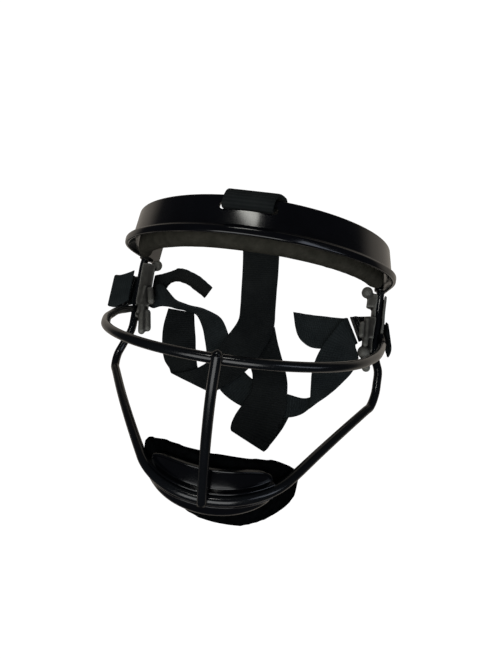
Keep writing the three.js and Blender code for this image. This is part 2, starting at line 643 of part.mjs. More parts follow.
// Back strap: stands on edge from the left loop, turns down behind the top strap's lower
// part and runs flat to the right under both yoke straps.
const BACK_STRAP = [
  { a: [-81.6, 50.4, 1.4], b: [-80.4, 66.8, 3.8] },
  { a: [-77.6, 49.4, 1.5], b: [-76.4, 67.2, 8.4] },
  { a: [-72.6, 51.6, 1.7], b: [-71.2, 63.8, 13.6] },
  { a: [-66.4, 52.3, 2.4], b: [-65.6, 57.8, 18.4] },
  { a: [-57.8, 51.6, 2.6], b: [-56.2, 48.4, 22.2] },
  { a: [-50.0, 50.9, 2.6], b: [-46.4, 44.6, 23.4] },
  { a: [-42.6, 49.2, 2.2], b: [-33.4, 42.9, 24.0] },
  { a: [-36.0, 39.2, 1.3], b: [-21.6, 39.9, 21.6] },
  { a: [-31.0, 26.4, 1.3], b: [-15.0, 34.8, 7.0] },
  { a: [-26.6, 14.6, 1.3], b: [-11.0, 25.0, 5.0] },
  { a: [-20.8, 3.6, 1.2], b: [-5.0, 16.6, 3.0] },
  { a: [-11.6, -7.8, 1.4], b: [2.6, 8.4, 2.9] },
  { a: [3.2, -15.8, 3.1], b: [12.4, 2.6, 3.1] },
  { a: [20.8, -19.6, 3.2], b: [24.4, -0.4, 3.15] },
  { a: [36.4, -18.6, 3.2], b: [35.6, -2.4, 3.2] },
  { a: [45.0, -14.4, 1.4], b: [46.6, -2.4, 1.2] },
  { a: [51.4, -8.0, 1.0], b: [54.6, 2.6, 1.0] },
];

// Right side strap: from the back strap up to the right, folded under, with its rounded
// tail out to the left.
const SIDE_STRAP = [
  { a: [49.6, -10.4, 3.3], b: [54.4, -5.4, 3.3] },
  { a: [49.6, -4.0, 3.3], b: [61.6, 1.6, 3.3] },
  { a: [49.0, 6.0, 2.6], b: [69.8, 11.6, 2.4] },
  { a: [48.6, 18.0, 2.6], b: [77.0, 22.6, 1.3] },
  { a: [50.4, 28.4, 3.2], b: [80.4, 31.6, 1.5] },
  { a: [54.0, 38.4, 4.2], b: [79.4, 36.6, 2.2] },
  { a: [60.2, 50.0, 5.2], b: [77.6, 40.4, 3.4] },
  { a: [66.4, 60.6, 5.4], b: [77.0, 42.4, 4.2] },
  { a: [69.0, 64.0, 3.3], b: [78.0, 43.8, 2.9] },
  { a: [66.8, 64.2, 1.5], b: [75.6, 42.6, 1.5] },
  { a: [57.0, 63.8, 1.1], b: [66.6, 40.0, 1.1] },
  { a: [46.0, 63.5, 1.0], b: [56.0, 37.2, 1.0] },
  { a: [38.0, 63.5, 1.0], b: [46.6, 36.6, 1.0] },
  { a: [33.2, 63.6, 1.0], b: [39.8, 39.6, 1.0] },
  { a: [30.4, 63.7, 1.0], b: [35.2, 44.6, 1.0] },
  { a: [29.2, 63.8, 1.0], b: [32.2, 52.0, 1.0] },
];

// Tail of the left side strap: stands on its edge in an arc.
const LEFT_TAIL = [
  { a: [-82.6, 64.0, 1.2], b: [-84.0, 78.6, 1.8] },
  { a: [-78.6, 63.6, 1.2], b: [-79.2, 79.4, 3.4] },
  { a: [-75.2, 63.4, 1.2], b: [-73.0, 80.0, 6.6] },
  { a: [-72.4, 67.8, 1.3], b: [-66.2, 79.4, 12.6] },
  { a: [-69.9, 74.4, 1.2], b: [-61.2, 76.4, 19.6] },
  { a: [-64.6, 76.8, 1.2], b: [-56.0, 74.0, 23.6] },
  { a: [-57.0, 75.4, 1.2], b: [-46.6, 70.6, 24.8] },
  { a: [-48.6, 70.7, 1.2], b: [-38.4, 66.0, 25.2] },
  { a: [-40.0, 65.4, 1.2], b: [-31.0, 60.4, 25.2] },
];

// Outer folds of the side straps, which run out under the posts and fold back over
// themselves. LOOP is the run of y that they take up under a post.
const LOOP = { from: 50.0, to: 78.0 };

const LEFT_LOOP = [
  { a: [-85.6, 51.0, 1.05], b: [-88.0, 77.0, 1.2] },
  { a: [-92.6, 51.0, 1.0], b: [-94.0, 76.6, 1.1] },
  { a: [-102.0, 47.4, 1.05], b: [-104.0, 74.4, 1.05] },
  { a: [-108.6, 45.4, 1.5], b: [-111.6, 72.4, 1.6] },
  { a: [-111.0, 44.4, 4.4], b: [-113.9, 71.2, 4.8] },
  { a: [-109.0, 42.6, 7.2], b: [-112.0, 70.4, 8.2] },
  { a: [-104.4, 42.4, 8.8], b: [-108.0, 70.0, 9.6] },
  { a: [-100.0, 45.0, 9.3], b: [-103.0, 72.0, 10.4] },
  { a: [-95.6, 49.2, 8.8], b: [-98.2, 75.6, 10.2] },
];

const RIGHT_LOOP = [
  { a: [79.8, 46.8, 1.0], b: [71.8, 66.4, 1.0] },
  { a: [86.0, 50.2, 1.0], b: [84.0, 68.6, 1.0] },
  { a: [93.6, 51.2, 1.0], b: [92.0, 69.0, 1.0] },
  { a: [98.8, 43.0, 1.0], b: [95.2, 66.0, 1.0] },
  { a: [100.8, 37.6, 1.4], b: [96.6, 64.4, 1.5] },
  { a: [101.8, 41.2, 3.9], b: [98.4, 62.6, 4.1] },
  { a: [100.2, 47.6, 6.8], b: [98.0, 61.8, 7.0] },
  { a: [97.6, 51.8, 8.0], b: [97.0, 62.0, 8.4] },
];

const SLIDERS = {
  left: { length: 29, width: 9.6, thick: 2.2, x: -100.8, y: 58.6, z: 5.2, turn: 3, tilt: -12 },
  right: { length: 17, width: 6.0, thick: 1.8, x: 78.0, y: 58.0, z: 3.9, turn: 24, tilt: 10 },
};

// A slider: a flat plate with two windows and a bar between them.
function slider({ length, width, thick, x, y, z, turn, tilt }) {
  const border = 1.8;
  const bar = 1.6;
  const window = (width - 2 * border - bar) / 2;
  let plate = solidOf(new THREE.BoxGeometry(width, length, thick));
  for (const side of [-1, 1]) {
    const cut = new THREE.BoxGeometry(window, length - 5, thick * 2);
    cut.translate(side * (bar + window) / 2, 0, 0);
    plate = plate.subtract(solidOf(cut));
  }
  const body = geometryOf(plate);
  body.rotateY(rad(tilt));
  body.rotateZ(rad(turn));
  body.translate(x, y, z);
  return body;
}

// ---------------------------------------------------------------- the whole mask

const material = {
  wire: finish(0x14161b, 0.3, 0.3),
  shell: finish(0x0b0d14, 0.2),
  pad: finish(0x2d2b26, 0.8),
  rubber: finish(0x3d3a34, 0.75),
  fleece: finish(0x07080a, 0.95),
  webbing: finish(0x17191c, 0.9),
  slider: finish(0x0c0d10, 0.35),
};

const mask = new THREE.Group();
mask.add(
  piece('wire_cage', wireCage(), material.wire),
  piece('brow_band', browBand(), material.shell),
  piece('brow_pad', browPad(), material.pad),
  piece('left_bumper', bumper(-1), material.rubber),
  piece('right_bumper', bumper(1), material.rubber),
  piece('chin_cup', chinCup(), material.shell),
  piece('chin_pad', chinPad(), material.fleece),
  piece('top_strap', strap(TOP_STRAP, 76), material.webbing),
  piece('right_yoke_strap', strap(RIGHT_YOKE, 30), material.webbing),
  piece('back_strap', strap(BACK_STRAP, 40), material.webbing),
  piece('right_side_strap', strap(SIDE_STRAP, 40), material.webbing),
  piece('left_strap_tail', strap(LEFT_TAIL, 14), material.webbing),
  piece('left_loop_strap', strap(LEFT_LOOP, 28), material.webbing),
  piece('right_loop_strap', strap(RIGHT_LOOP, 28), material.webbing),
  piece('left_slider', slider(SLIDERS.left), material.slider),
  piece('right_slider', slider(SLIDERS.right), material.slider),
);

// The origin is under the middle of the whole mask, on the surface.
const box = new THREE.Box3().setFromObject(mask);
mask.position.set(-(box.min.x + box.max.x) / 2, -(box.min.y + box.max.y) / 2, -box.min.z);

export default mask;
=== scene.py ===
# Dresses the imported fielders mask: fine shapes and finishes over its solids, and the stage.
import math

import bmesh
import bpy
from bpy.props import FloatProperty, IntProperty, PointerProperty
from mathutils import Matrix, Quaternion, Vector


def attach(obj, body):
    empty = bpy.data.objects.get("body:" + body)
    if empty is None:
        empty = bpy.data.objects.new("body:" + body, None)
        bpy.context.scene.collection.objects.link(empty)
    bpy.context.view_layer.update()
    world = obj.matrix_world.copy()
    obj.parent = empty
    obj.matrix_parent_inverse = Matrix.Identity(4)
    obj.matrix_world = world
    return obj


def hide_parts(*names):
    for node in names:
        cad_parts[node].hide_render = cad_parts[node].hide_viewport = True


bl_info = {
    "name": "Fielders mask dressing",
    "version": (1, 0, 0),
    "blender": (4, 5, 0),
    "location": "View3D > Sidebar > Mask",
    "description": "Builds the fine pieces and the finishes of a wire fielders mask",
    "category": "Add Mesh",
}

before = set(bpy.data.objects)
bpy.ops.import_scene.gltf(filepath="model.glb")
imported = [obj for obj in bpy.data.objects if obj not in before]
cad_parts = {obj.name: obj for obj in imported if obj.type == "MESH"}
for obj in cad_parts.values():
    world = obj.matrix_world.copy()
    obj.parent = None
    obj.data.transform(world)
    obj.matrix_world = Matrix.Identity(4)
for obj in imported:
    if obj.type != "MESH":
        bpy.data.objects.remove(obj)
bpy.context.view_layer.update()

# ---------------------------------------------------------------- sizes, in millimetres
# X is to the right of someone looking into the face opening, Y runs from the chin to the
# forehead and Z is up. SHIFT takes these places to the row frame.

SHIFT = Vector((6.0635, -7.7041, 0.0515))

WIRE = 5.0                          # coated wire of the ring and the bar, diameter
JAW_WIRE = 5.7                      # the heavier wire of the jaw and the posts

# Each bent plane: the y and z of its own origin, and its tip towards the chin in degrees.
BAND_PLANE = (82.5, 28.5, 23.3)
RING_PLANE = (14.7, 53.9, 34.8)
JAW_PLANE = (0.0, 2.65, 54.6)
CUP_TIP = 41.1

BAND_HALF_WIDTH = 90.0
BAND_SKEW = 2.6
BAND_REACH = 100.0
BAND_LEG = 28.69
BAND_HEIGHT = 17.2
BAND_LEAN = 3.6                     # how far the top edge leans in at the front
BAND_END_LEAN = {-1: 2.0, 1: 3.6}   # and at the ends
BAND_SHOULDER = 0.8
BAND_WALL = 2.4
LIP_FLARE = 4.4
LIP_TAPER = 3.0                     # how much less the lip stands out at the ends
LIP_TAPER_REACH = 50.0              # the reach below which it starts to stand out less
LIP_DROP = 5.5
LIP_WALL = 2.2
SLOT_HEIGHT = 4.4
SLOT_BELOW_TOP = 6.3
SLOT_LENGTH = 31.0
SOCKET_RADIUS = 4.6
SOCKET_AT = (86.5, 90, 94, 97.8)    # the y of the posts' run inside the band's ends

PAD_SWELL = 1.2                     # what both pads gain in thickness when they are filled
PAD_THICK = 11.0
PAD_TOP = 8.0
PAD_BOTTOM = -11.2
PAD_ARC = 84.0

# In the tables of the legs, hooks, posts and lobes, -1 is the left side and 1 the right,
# and x is counted outwards on both.
RING_HALF_WIDTH = 79.5
RING_REACH = 78.0
RING_ARC = 70.0
RING_LEG = {
    -1: [(80.2, 12.5), (83.0, 1.0), (86.3, -15.6)],
    1: [(80.4, 12.0), (86.0, -9.0), (91.6, -36.0)],
}
RING_HOOK = {
    -1: [(88.2, 34.0, 24.0), (89.6, 41.2, 12.0), (89.2, 44.6, 6.4)],
    1: [(94.2, 41.6, 12.6), (94.6, 46.4, 8.8), (93.6, 51.2, 7.6)],
}

JAW_RADIUS = 50.0
JAW_ARC = 58.5
JAW_REACH = 102.5
JAW_BOW = {-1: 1.2, 1: -0.4}

POST = {
    -1: [
        (92.7, 0.2, 2.7), (92.4, 7.5, 2.85), (90.9, 14.7, 3.2), (89.5, 20.6, 3.5),
        (88.1, 25.6, 3.8), (87.8, 30.5, 4.05), (88.5, 37.4, 4.3), (89.4, 44.0, 4.7),
        (90.4, 52.0, 5.2), (91.3, 60.0, 5.7), (92.2, 68.0, 6.2), (92.9, 76.0, 7.3),
        (93.2, 84.0, 8.8), (91.8, 92.0, 11.2), (89.6, 98.0, 13.4),
    ],
    1: [
        (91.9, 0.2, 2.7), (93.0, 7.7, 2.8), (93.8, 16.1, 3.1), (94.0, 25.0, 3.5),
        (92.3, 30.8, 4.0), (90.6, 37.4, 4.3), (90.4, 44.0, 4.7), (90.6, 52.0, 5.2),
        (91.2, 60.0, 5.7), (91.2, 68.0, 6.2), (91.5, 84.0, 8.8), (90.6, 98.0, 13.4),
    ],
}

BAR_STANDOFF = 4.1
BAR_ABOVE = 6.0
BAR_BELOW = 1.0
BAR_ASIDE = 1.6
BAR_BULGE = 2.5

CUP_HALF_WIDTH = 34.0
CUP_BACK = 4.9
CHIN_PAD_THICK = 9.0
CHIN_PAD_ARC = 74.0
CHIN_PAD_TURN = 6.5
CHIN_PAD_HALF_HEIGHT = 22.0
CHIN_PAD_MIDDLE = -0.2
CHIN_PAD_TAPER = {-1: 0.24, 1: 0.1}
PAD_GAP = 0.8

# A bumper is a sleeve round a post between two y, and a web that reaches inward from it.
SLEEVE_FROM = 37.0
SLEEVE_TO = 82.0
SLEEVE_OUTER = 4.6
SLEEVE_INNER = 5.4
WEBS = {-1: [(37.0, 82.0)], 1: [(37.0, 64.0), (72.0, 82.0)]}
WEB_REACH = {-1: 10.4, 1: 9.4}
MOUTH = {-1: (-5.6, 1.5), 1: (-2.6, 2.3)}  # where the post shows, inward from its middle
MOUTH_FLOOR = {-1: -12, 1: 0}       # how far down the mouth is open
LOOP_FROM = 50.0                    # where the loop straps pass under the posts
LOOP_TO = 78.0
LOOP_ROOM = 0.7
UNDER_POST = -2.95                  # down from the post's middle to the loop straps' way
BORE_ROOM = 0.5                     # round the post
BRANCH_ROOM = 0.9                   # round the ring's leg

WEB_THICK = 1.8                     # webbing
WEB_EDGE = 0.8                      # its rounded edges
SLIDER_RIM = 0.95                   # half the width of a slider's frame bars
RIBS_PER_CM = 6.0
COLUMNS_PER_CM = 20.0

# ---------------------------------------------------------------- light and camera, in metres

# Each lamp's place, its two sizes, its share of the key light and its tint.
LAMPS = (
    ("over_box", (-0.14, 0.37, 1.16), (0.34, 0.12), 0.135, (1.0, 1.0, 0.94)),
    ("soft_box", (-0.10, -0.95, 0.95), (1.4, 1.0), 1.0, (0.98, 1.0, 1.0)),
    ("right_box", (0.87, -0.165, 0.68), (0.26, 0.7), 0.11, (0.78, 0.85, 1.0)),
)
PAPER_HALF = 6.0
CAMERA_PLACE = (0.03976, -0.11000, 0.30115)
CAMERA_LOOK = (-0.109, 0.434, -0.894)
CAMERA_RIGHT = (0.983, 0.179, -0.033)
CAMERA_LENS = 24.49                 # millimetres, on a 36 mm sensor

# ---------------------------------------------------------------- curves and planes


def forward_of(tip):
    return Vector((0, -math.sin(math.radians(tip)), math.cos(math.radians(tip))))


def up_of(tip):
    return Vector((0, math.cos(math.radians(tip)), math.sin(math.radians(tip))))


def in_plane(plane, x, s, u=0.0):
    y, z, tip = plane
    return Vector((x, y, z)) + forward_of(tip) * s + up_of(tip) * u


def curve_point(points, part):
    """A place on the smooth curve through the points, part from 0 to 1."""
    last = len(points) - 1
    place = last * part
    at = int(math.floor(place))
    w = place - at
    if at >= last:
        at, w = last - 1, 1.0
    p1, p2 = points[at], points[at + 1]
    before = points[at - 1] if at > 0 else p1 * 2 - p2
    after = points[at + 2] if at + 2 <= last else p2 * 2 - p1
    d1 = (p2 - p1).length ** 0.5 or 1.0
    d0 = (p1 - before).length ** 0.5 or d1
    d2 = (after - p2).length ** 0.5 or d1
    t1 = ((p1 - before) / d0 - (p2 - before) / (d0 + d1) + (p2 - p1) / d1) * d1
    t2 = ((p2 - p1) / d1 - (after - p1) / (d1 + d2) + (after - p2) / d2) * d1
    square = (p2 - p1) * 3 - t1 * 2 - t2
    cube = (p1 - p2) * 2 + t1 + t2
    return p1 + t1 * w + square * w ** 2 + cube * w ** 3


def evenly(points, steps):
    """Places at even distances along the smooth curve through the points."""
    fine = [curve_point(points, i / (steps * 5)) for i in range(steps * 5 + 1)]
    run = [0.0]
    for a, b in zip(fine, fine[1:]):
        run.append(run[-1] + (b - a).length)
    out, j = [], 0
    for i in range(steps + 1):
        want = run[-1] * i / steps
        while j < len(run) - 2 and run[j + 1] < want:
            j += 1
        span = run[j + 1] - run[j] or 1.0
        out.append(fine[j].lerp(fine[j + 1], (want - run[j]) / span))
    return out


def on_side(side, points):
    """Places whose x is counted outwards, put on their side."""
    return [Vector((side * x, y, z)) for x, y, z in points]


def both_halves(half):
    return on_side(-1, reversed(half(-1)[1:])) + half(1)


def rounded(outline, radius, steps=3):
    """A closed flat outline of number pairs with each corner turned into an arc."""
    out = []
    count = len(outline)
    for i, (x, y) in enumerate(outline):
        here = Vector((x, y))
        back = Vector(outline[i - 1]) - here
        on = Vector(outline[(i + 1) % count]) - here
        size = min(radius, back.length * 0.42, on.length * 0.42)
        first = here + back.normalized() * size
        last = here + on.normalized() * size
        for k in range(steps + 1):
            t = k / steps
            out.append(tuple(first * (1 - t) ** 2 + here * 2 * t * (1 - t) + last * t ** 2))
    return out


# ---------------------------------------------------------------- meshes


def smooth(mesh):
    mesh.polygons.foreach_set("use_smooth", [True] * len(mesh.polygons))


class Shell:
    """Vertices and faces being gathered in millimetres, with weave places in centimetres."""

    def __init__(self):
        self.verts = []
        self.faces = []
        self.uvs = []

    def add_face(self, corners, places=None):
        self.faces.append(tuple(corners))
        self.uvs.append(places or [(0.0, 0.0)] * len(corners))

    def take(self, other):
        """Adds what another shell holds."""
        base = len(self.verts)
        self.verts += other.verts
        for face, places in zip(other.faces, other.uvs):
            self.add_face([base + i for i in face], places)

    def sweep(self, rings, closed=False, across=None):
        """A closed skin through rings of places; across gives each place's weave x."""
        start, count, rows = len(self.verts), len(rings[0]), len(rings)
        self.verts += [p for ring in rings for p in ring]
        middles = [sum(ring, Vector()) / count for ring in rings]
        run = [0.0]
        for r in range(1, rows + 1):
            run.append(run[-1] + (middles[r % rows] - middles[r - 1]).length)
        if across is None:
            across = [0.0]
            for a, b in zip(rings[rows // 2], rings[rows // 2][1:]):
                across.append(across[-1] + (b - a).length)
            across = across + [across[-1] + (rings[rows // 2][0] - rings[rows // 2][-1]).length]
        else:
            across = list(across) + [across[0]]
        for r in range(rows if closed else rows - 1):
            here, there = start + r * count, start + (r + 1) % rows * count
            for i in range(count):
                j = (i + 1) % count
                places = [(across[i], run[r]), (across[i + 1], run[r]),
                          (across[i + 1], run[r + 1]), (across[i], run[r + 1])]
                places = [(x / 10, y / 10) for x, y in places]
                self.add_face((here + i, here + j, there + j, there + i), places)
        if not closed:
            flat = [(x / 10, 0.0) for x in across[:count]]
            self.add_face([start + i for i in reversed(range(count))], list(reversed(flat)))
            last = start + (rows - 1) * count
            flat = [(x / 10, run[rows - 1] / 10) for x in across[:count]]
            self.add_face([last + i for i in range(count)], flat)
        return self

    def bar(self, points, radius, sides=16, soft=0.8):
        """A round bar along the points with softened ends."""
        last = len(points) - 1
        rings, rows = [], []
        for i, p in enumerate(points):
            tangent = (points[min(i + 1, last)] - points[max(i - 1, 0)]).normalized()
            rows.append((p, tangent, radius))
        if soft:
            rows = end_rows(rows[0], soft, 1) + rows[1:-1] + end_rows(rows[-1], soft, -1)
        across = rows[0][1].orthogonal().normalized()
        for place, tangent, size in rows:
            across = (across - tangent * across.dot(tangent)).normalized()
            side = tangent.cross(across)
            rings.append([
                place + (across * math.cos(a) + side * math.sin(a)) * size
                for a in (2 * math.pi * k / sides for k in range(sides))
            ])
        return self.sweep(rings)

    def bead(self, place, sizes, turn=None, sides=12, rows=8):
        """A rounded lump of the three half sizes."""
        turn = turn or Quaternion()
        rings = []
        for r in range(1, rows):
            a = math.pi * r / rows
            rings.append([
                place + turn @ Vector((
                    sizes[0] * math.sin(a) * math.cos(2 * math.pi * k / sides),
                    sizes[1] * math.sin(a) * math.sin(2 * math.pi * k / sides),
                    sizes[2] * math.cos(a),
                )) for k in range(sides)
            ])
        return self.sweep(rings)

    def capsule(self, start, end, radius, sides=20):
        """A bar with round ends that spans from start to end, and never less than a ball."""
        half = max((end - start).length / 2, radius + 0.25)
        middle = start.lerp(end, 0.5)
        along = (end - start).normalized()
        side = along.orthogonal().normalized()
        other = along.cross(side)
        rings = []
        for way in (-1, 1):
            for k in range(1, 7) if way < 0 else range(6, 0, -1):
                a = math.radians(15 * k)
                place = middle + along * way * (half - radius + radius * math.cos(a))
                rings.append([
                    place + (side * math.cos(t) + other * math.sin(t)) * radius * math.sin(a)
                    for t in (2 * math.pi * n / sides for n in range(sides))
                ])
        return self.sweep(rings)

    def mesh(self, name):
        mesh = bpy.data.meshes.new(name)
        mesh.from_pydata([(v + SHIFT) / 1000 for v in self.verts], [], self.faces)
        layer = mesh.uv_layers.new(name="weave")
        for loop, place in zip(layer.data, (p for face in self.uvs for p in face)):
            loop.uv = place
        smooth(mesh)
        fix = bmesh.new()
        fix.from_mesh(mesh)
        bmesh.ops.recalc_face_normals(fix, faces=fix.faces)
        fix.to_mesh(mesh)
        fix.free()
        return mesh


def end_rows(row, soft, way):
    """Rows that round off the end of a bar; way is 1 at its start and -1 at its end."""
    place, tangent, radius = row
    soft = min(soft, radius)
    out = []
    for k in range(5):
        a = math.radians(90 * k / 4)
        back = soft * (1 - math.cos(a))
        out.append((place + tangent * back * way, tangent, radius - soft + soft * math.sin(a)))
    return out if way > 0 else list(reversed(out))


def new_piece(name, shell, material, node=None):
    """Puts a shell into the scene as a piece of the mask; it may stand for a CAD node."""
    piece = bpy.data.objects.new(name, shell.mesh(name))
    bpy.context.collection.objects.link(piece)
    piece.data.materials.append(material)
    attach(piece, "root")
    if node:
        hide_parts(node)
    return piece


def helper(shell):
    """A shell as an object that is used up by another piece."""
    thing = bpy.data.objects.new("helper", shell.mesh("helper"))
    bpy.context.collection.objects.link(thing)
    return thing


def bake(piece):
    """Turns what the modifiers make into the piece's own mesh."""
    graph = bpy.context.evaluated_depsgraph_get()
    shown = piece.evaluated_get(graph)
    mesh = bpy.data.meshes.new_from_object(shown, preserve_all_data_layers=True, depsgraph=graph)
    piece.modifiers.clear()
    piece.data = mesh
    smooth(mesh)


def modify(piece, kind, **values):
    """Adds a modifier with these values and bakes it in."""
    modifier = piece.modifiers.new(kind.lower(), kind)
    for key, value in values.items():
        setattr(modifier, key, value)
    bake(piece)


def cut(piece, *shells):
    """Takes these shells out of a piece."""
    for shell in shells:
        cutter = helper(shell)
        modify(piece, "BOOLEAN", operation="DIFFERENCE", solver="EXACT", object=cutter)
        bpy.data.objects.remove(cutter)


def sharpen(piece, degrees):
    """Keeps edges sharper than the angle crisp in the shading."""
    piece.data.set_sharp_from_angle(angle=math.radians(degrees))


# ---------------------------------------------------------------- materials


class Finish:
    """A material with short calls for its nodes."""

    def __init__(self, name, **values):
        self.material = bpy.data.materials.new(name)
        self.material.use_nodes = True
        self.tree = self.material.node_tree
        self.shader = self.tree.nodes["Principled BSDF"]
        for key, value in values.items():
            self.shader.inputs[key.replace("_", " ")].default_value = value

    def node(self, kind, **inputs):
        node = self.tree.nodes.new("ShaderNode" + kind)
        for key, value in inputs.items():
            spot = key.replace("_", " ")
            if hasattr(value, "is_output"):
                self.tree.links.new(value, node.inputs[spot])
            else:
                node.inputs[spot].default_value = value
        return node

    def place(self):
        return self.node("TexCoord").outputs["Object"]

    def weave_place(self):
        return self.node("UVMap").outputs["UV"]

    def noise(self, scale, detail=3.0, rough=0.55):
        return self.node("TexNoise", Vector=self.place(), Scale=scale, Detail=detail,
                         Roughness=rough).outputs["Fac"]

    def cells(self, scale):
        return self.node("TexVoronoi", Vector=self.place(), Scale=scale).outputs["Distance"]

    def math(self, operation, a, b=0.0):
        node = self.tree.nodes.new("ShaderNodeMath")
        node.operation = operation
        for spot, value in zip(node.inputs, (a, b)):
            if hasattr(value, "is_output"):
                self.tree.links.new(value, spot)
            else:
                spot.default_value = value
        return node.outputs[0]

    def ramp(self, fac, *stops):
        node = self.node("ValToRGB", Fac=fac)
        band = node.color_ramp
        while len(band.elements) < len(stops):
            band.elements.new(0.5)
        for element, (place, colour) in zip(band.elements, stops):
            element.position = place
            element.color = (*colour, 1.0)
        return node.outputs["Color"]

    def spread(self, fac, low, high, start=0.0, end=1.0):
        """A number from low to high as fac goes from start to end."""
        node = self.node("MapRange", Value=fac)
        for key, value in zip(("From Min", "From Max", "To Min", "To Max"), (start, end, low, high)):
            node.inputs[key].default_value = value
        return node.outputs["Result"]

    def set(self, **links):
        for key, value in links.items():
            self.tree.links.new(value, self.shader.inputs[key.replace("_", " ")])
        return self

    def bump(self, *layers):
        """Layers of (height, strength, distance in metres), the broadest first."""
        normal = None
        for height, strength, distance in layers:
            node = self.node("Bump", Height=height, Strength=strength, Distance=distance)
            if normal:
                self.tree.links.new(normal, node.inputs["Normal"])
            normal = node.outputs["Normal"]
        self.tree.links.new(normal, self.shader.inputs["Normal"])
        return self


def simple_finish(name, ior, gloss, tone, colours, grain, rough, bumps):
    """A finish from noises told as (scale, detail): one tints it and one roughens it."""
    finish = Finish(name, IOR=ior, Specular_IOR_Level=gloss)
    finish.set(
        Base_Color=finish.ramp(finish.noise(*tone), *colours),
        Roughness=finish.spread(finish.noise(*grain), *rough),
    )
    layers = [(finish.noise(scale, detail), strength, far) for scale, detail, strength, far in bumps]
    return finish.bump(*layers).material


def coated_wire():
    """Dip-coated steel: smooth dark plastic with a faint orange peel."""
    return simple_finish(
        "coated_wire", 1.5, 0.5,
        tone=(60.0, 2.0), colours=((0.3, (0.0026, 0.0034, 0.0046)), (0.7, (0.0044, 0.0054, 0.0068))),
        grain=(900.0, 4.0), rough=(0.17, 0.23, 0.35, 0.75), bumps=[(300.0, 1.0, 0.08, 0.0002)])


def moulded_shell():
    """Polished injection-moulded plastic."""
    return simple_finish(
        "moulded_shell", 1.5, 0.5,
        tone=(70.0, 2.0), colours=((0.3, (0.0010, 0.0012, 0.0020)), (0.7, (0.0018, 0.0022, 0.0034))),
        grain=(70.0, 2.0), rough=(0.13, 0.18, 0.3, 0.7), bumps=[(45.0, 1.0, 0.05, 0.0006)])


def fleece():
    """Dense short-pile fleece of the chin pad."""
    return simple_finish(
        "fleece", 1.4, 0.0,
        tone=(300.0, 5.0), colours=((0.35, (0.0012, 0.0014, 0.0016)), (0.75, (0.0036, 0.0040, 0.0044))),
        grain=(3800.0, 4.0), rough=(0.85, 1.0, 0.3, 0.7),
        bumps=[(300.0, 5.0, 0.35, 0.0012), (3800.0, 4.0, 0.8, 0.0004)])


def hard_slider():
    """Moulded plastic of the sliders."""
    return simple_finish(
        "hard_slider", 1.5, 0.45,
        tone=(200.0, 3.0), colours=((0.3, (0.0030, 0.0034, 0.0040)), (0.7, (0.006, 0.0066, 0.0074))),
        grain=(900.0, 3.0), rough=(0.30, 0.46, 0.35, 0.7), bumps=[(900.0, 3.0, 0.12, 0.0001)])


def soft_rubber():
    """Grey moulded rubber, mottled, with painted shade in its grooves and painted highlight on its
    ridges.
    """
    finish = Finish("soft_rubber", IOR=1.45, Specular_IOR_Level=0.3)
    tone = finish.noise(150.0, 4.0)
    grain = finish.noise(1500.0, 3.0)
    # Pointiness paints shade into the grooves and paints highlight onto the ridges; the noise adds the
    # rubber's mottle.
    ridge_highlight_groove_shade = finish.spread(finish.node("NewGeometry").outputs["Pointiness"], 0.0, 1.0, 0.475, 0.53)
    mottle = finish.math("MULTIPLY", tone, 0.25)
    mottle_and_painted_relief = finish.math("ADD", finish.math("MULTIPLY", ridge_highlight_groove_shade, 0.75), mottle)
    finish.set(
        Base_Color=finish.ramp(mottle_and_painted_relief, (0.20, (0.010, 0.010, 0.009)), (0.52, (0.052, 0.050, 0.044)),
                               (0.85, (0.150, 0.148, 0.132))),
        Roughness=finish.spread(grain, 0.42, 0.62, 0.3, 0.7),
    )
    return finish.bump((tone, 0.12, 0.0005), (grain, 0.25, 0.00012)).material


def pad_cloth():
    """Brushed cover cloth of the brow pad."""
    finish = Finish("pad_cloth", IOR=1.45, Specular_IOR_Level=0.1)
    tone = finish.noise(220.0, 4.0)
    grain = finish.noise(2600.0, 3.0)
    pores = finish.cells(1500.0)
    finish.set(
        Base_Color=finish.ramp(tone, (0.30, (0.026, 0.025, 0.019)), (0.70, (0.046, 0.043, 0.034))),
        Roughness=finish.spread(grain, 0.75, 0.95, 0.3, 0.7),
    )
    return finish.bump((tone, 0.2, 0.0008), (pores, 0.35, 0.0003), (grain, 0.4, 0.0002)).material


def webbing(name, low, high):
    """Woven elastic: ribs across it, fine columns along it, and lint."""
    finish = Finish(name, IOR=1.45, Specular_IOR_Level=0.12)
    place = finish.node("SeparateXYZ", Vector=finish.weave_place())
    across, along = place.outputs["X"], place.outputs["Y"]
    wobble = finish.math("MULTIPLY", finish.noise(90.0, 2.0), 0.03)
    ribs_at = finish.math("MULTIPLY", finish.math("ADD", along, wobble), RIBS_PER_CM * 2 * math.pi)
    rib = finish.math("SINE", ribs_at)
    column = finish.math("SINE", finish.math("MULTIPLY", across, COLUMNS_PER_CM * 2 * math.pi))
    columns = finish.math("MULTIPLY", column, 0.4)
    weave = finish.math("ADD", finish.math("MULTIPLY", rib, 0.6), columns)
    tone = finish.noise(70.0, 4.0)
    speck = finish.noise(1400.0, 3.0, rough=0.7)
    lint = finish.math("GREATER_THAN", speck, 0.70)
    shade = finish.math("ADD", finish.math("MULTIPLY", weave, 0.20), tone)
    cloth = finish.ramp(shade, (0.25, low), (0.75, high))
    mix = finish.node("Mix")
    mix.data_type = "RGBA"
    finish.tree.links.new(finish.math("MULTIPLY", lint, 0.35), mix.inputs["Factor"])
    finish.tree.links.new(cloth, mix.inputs["A"])
    mix.inputs["B"].default_value = (0.085, 0.078, 0.062, 1.0)
    finish.tree.links.new(mix.outputs["Result"], finish.shader.inputs["Base Color"])
    finish.set(Roughness=finish.spread(tone, 0.78, 0.95, 0.3, 0.7))
    return finish.bump((tone, 0.15, 0.0008), (weave, 0.5, 0.00018), (speck, 0.25, 0.0001)).material


# ---------------------------------------------------------------- wire cage


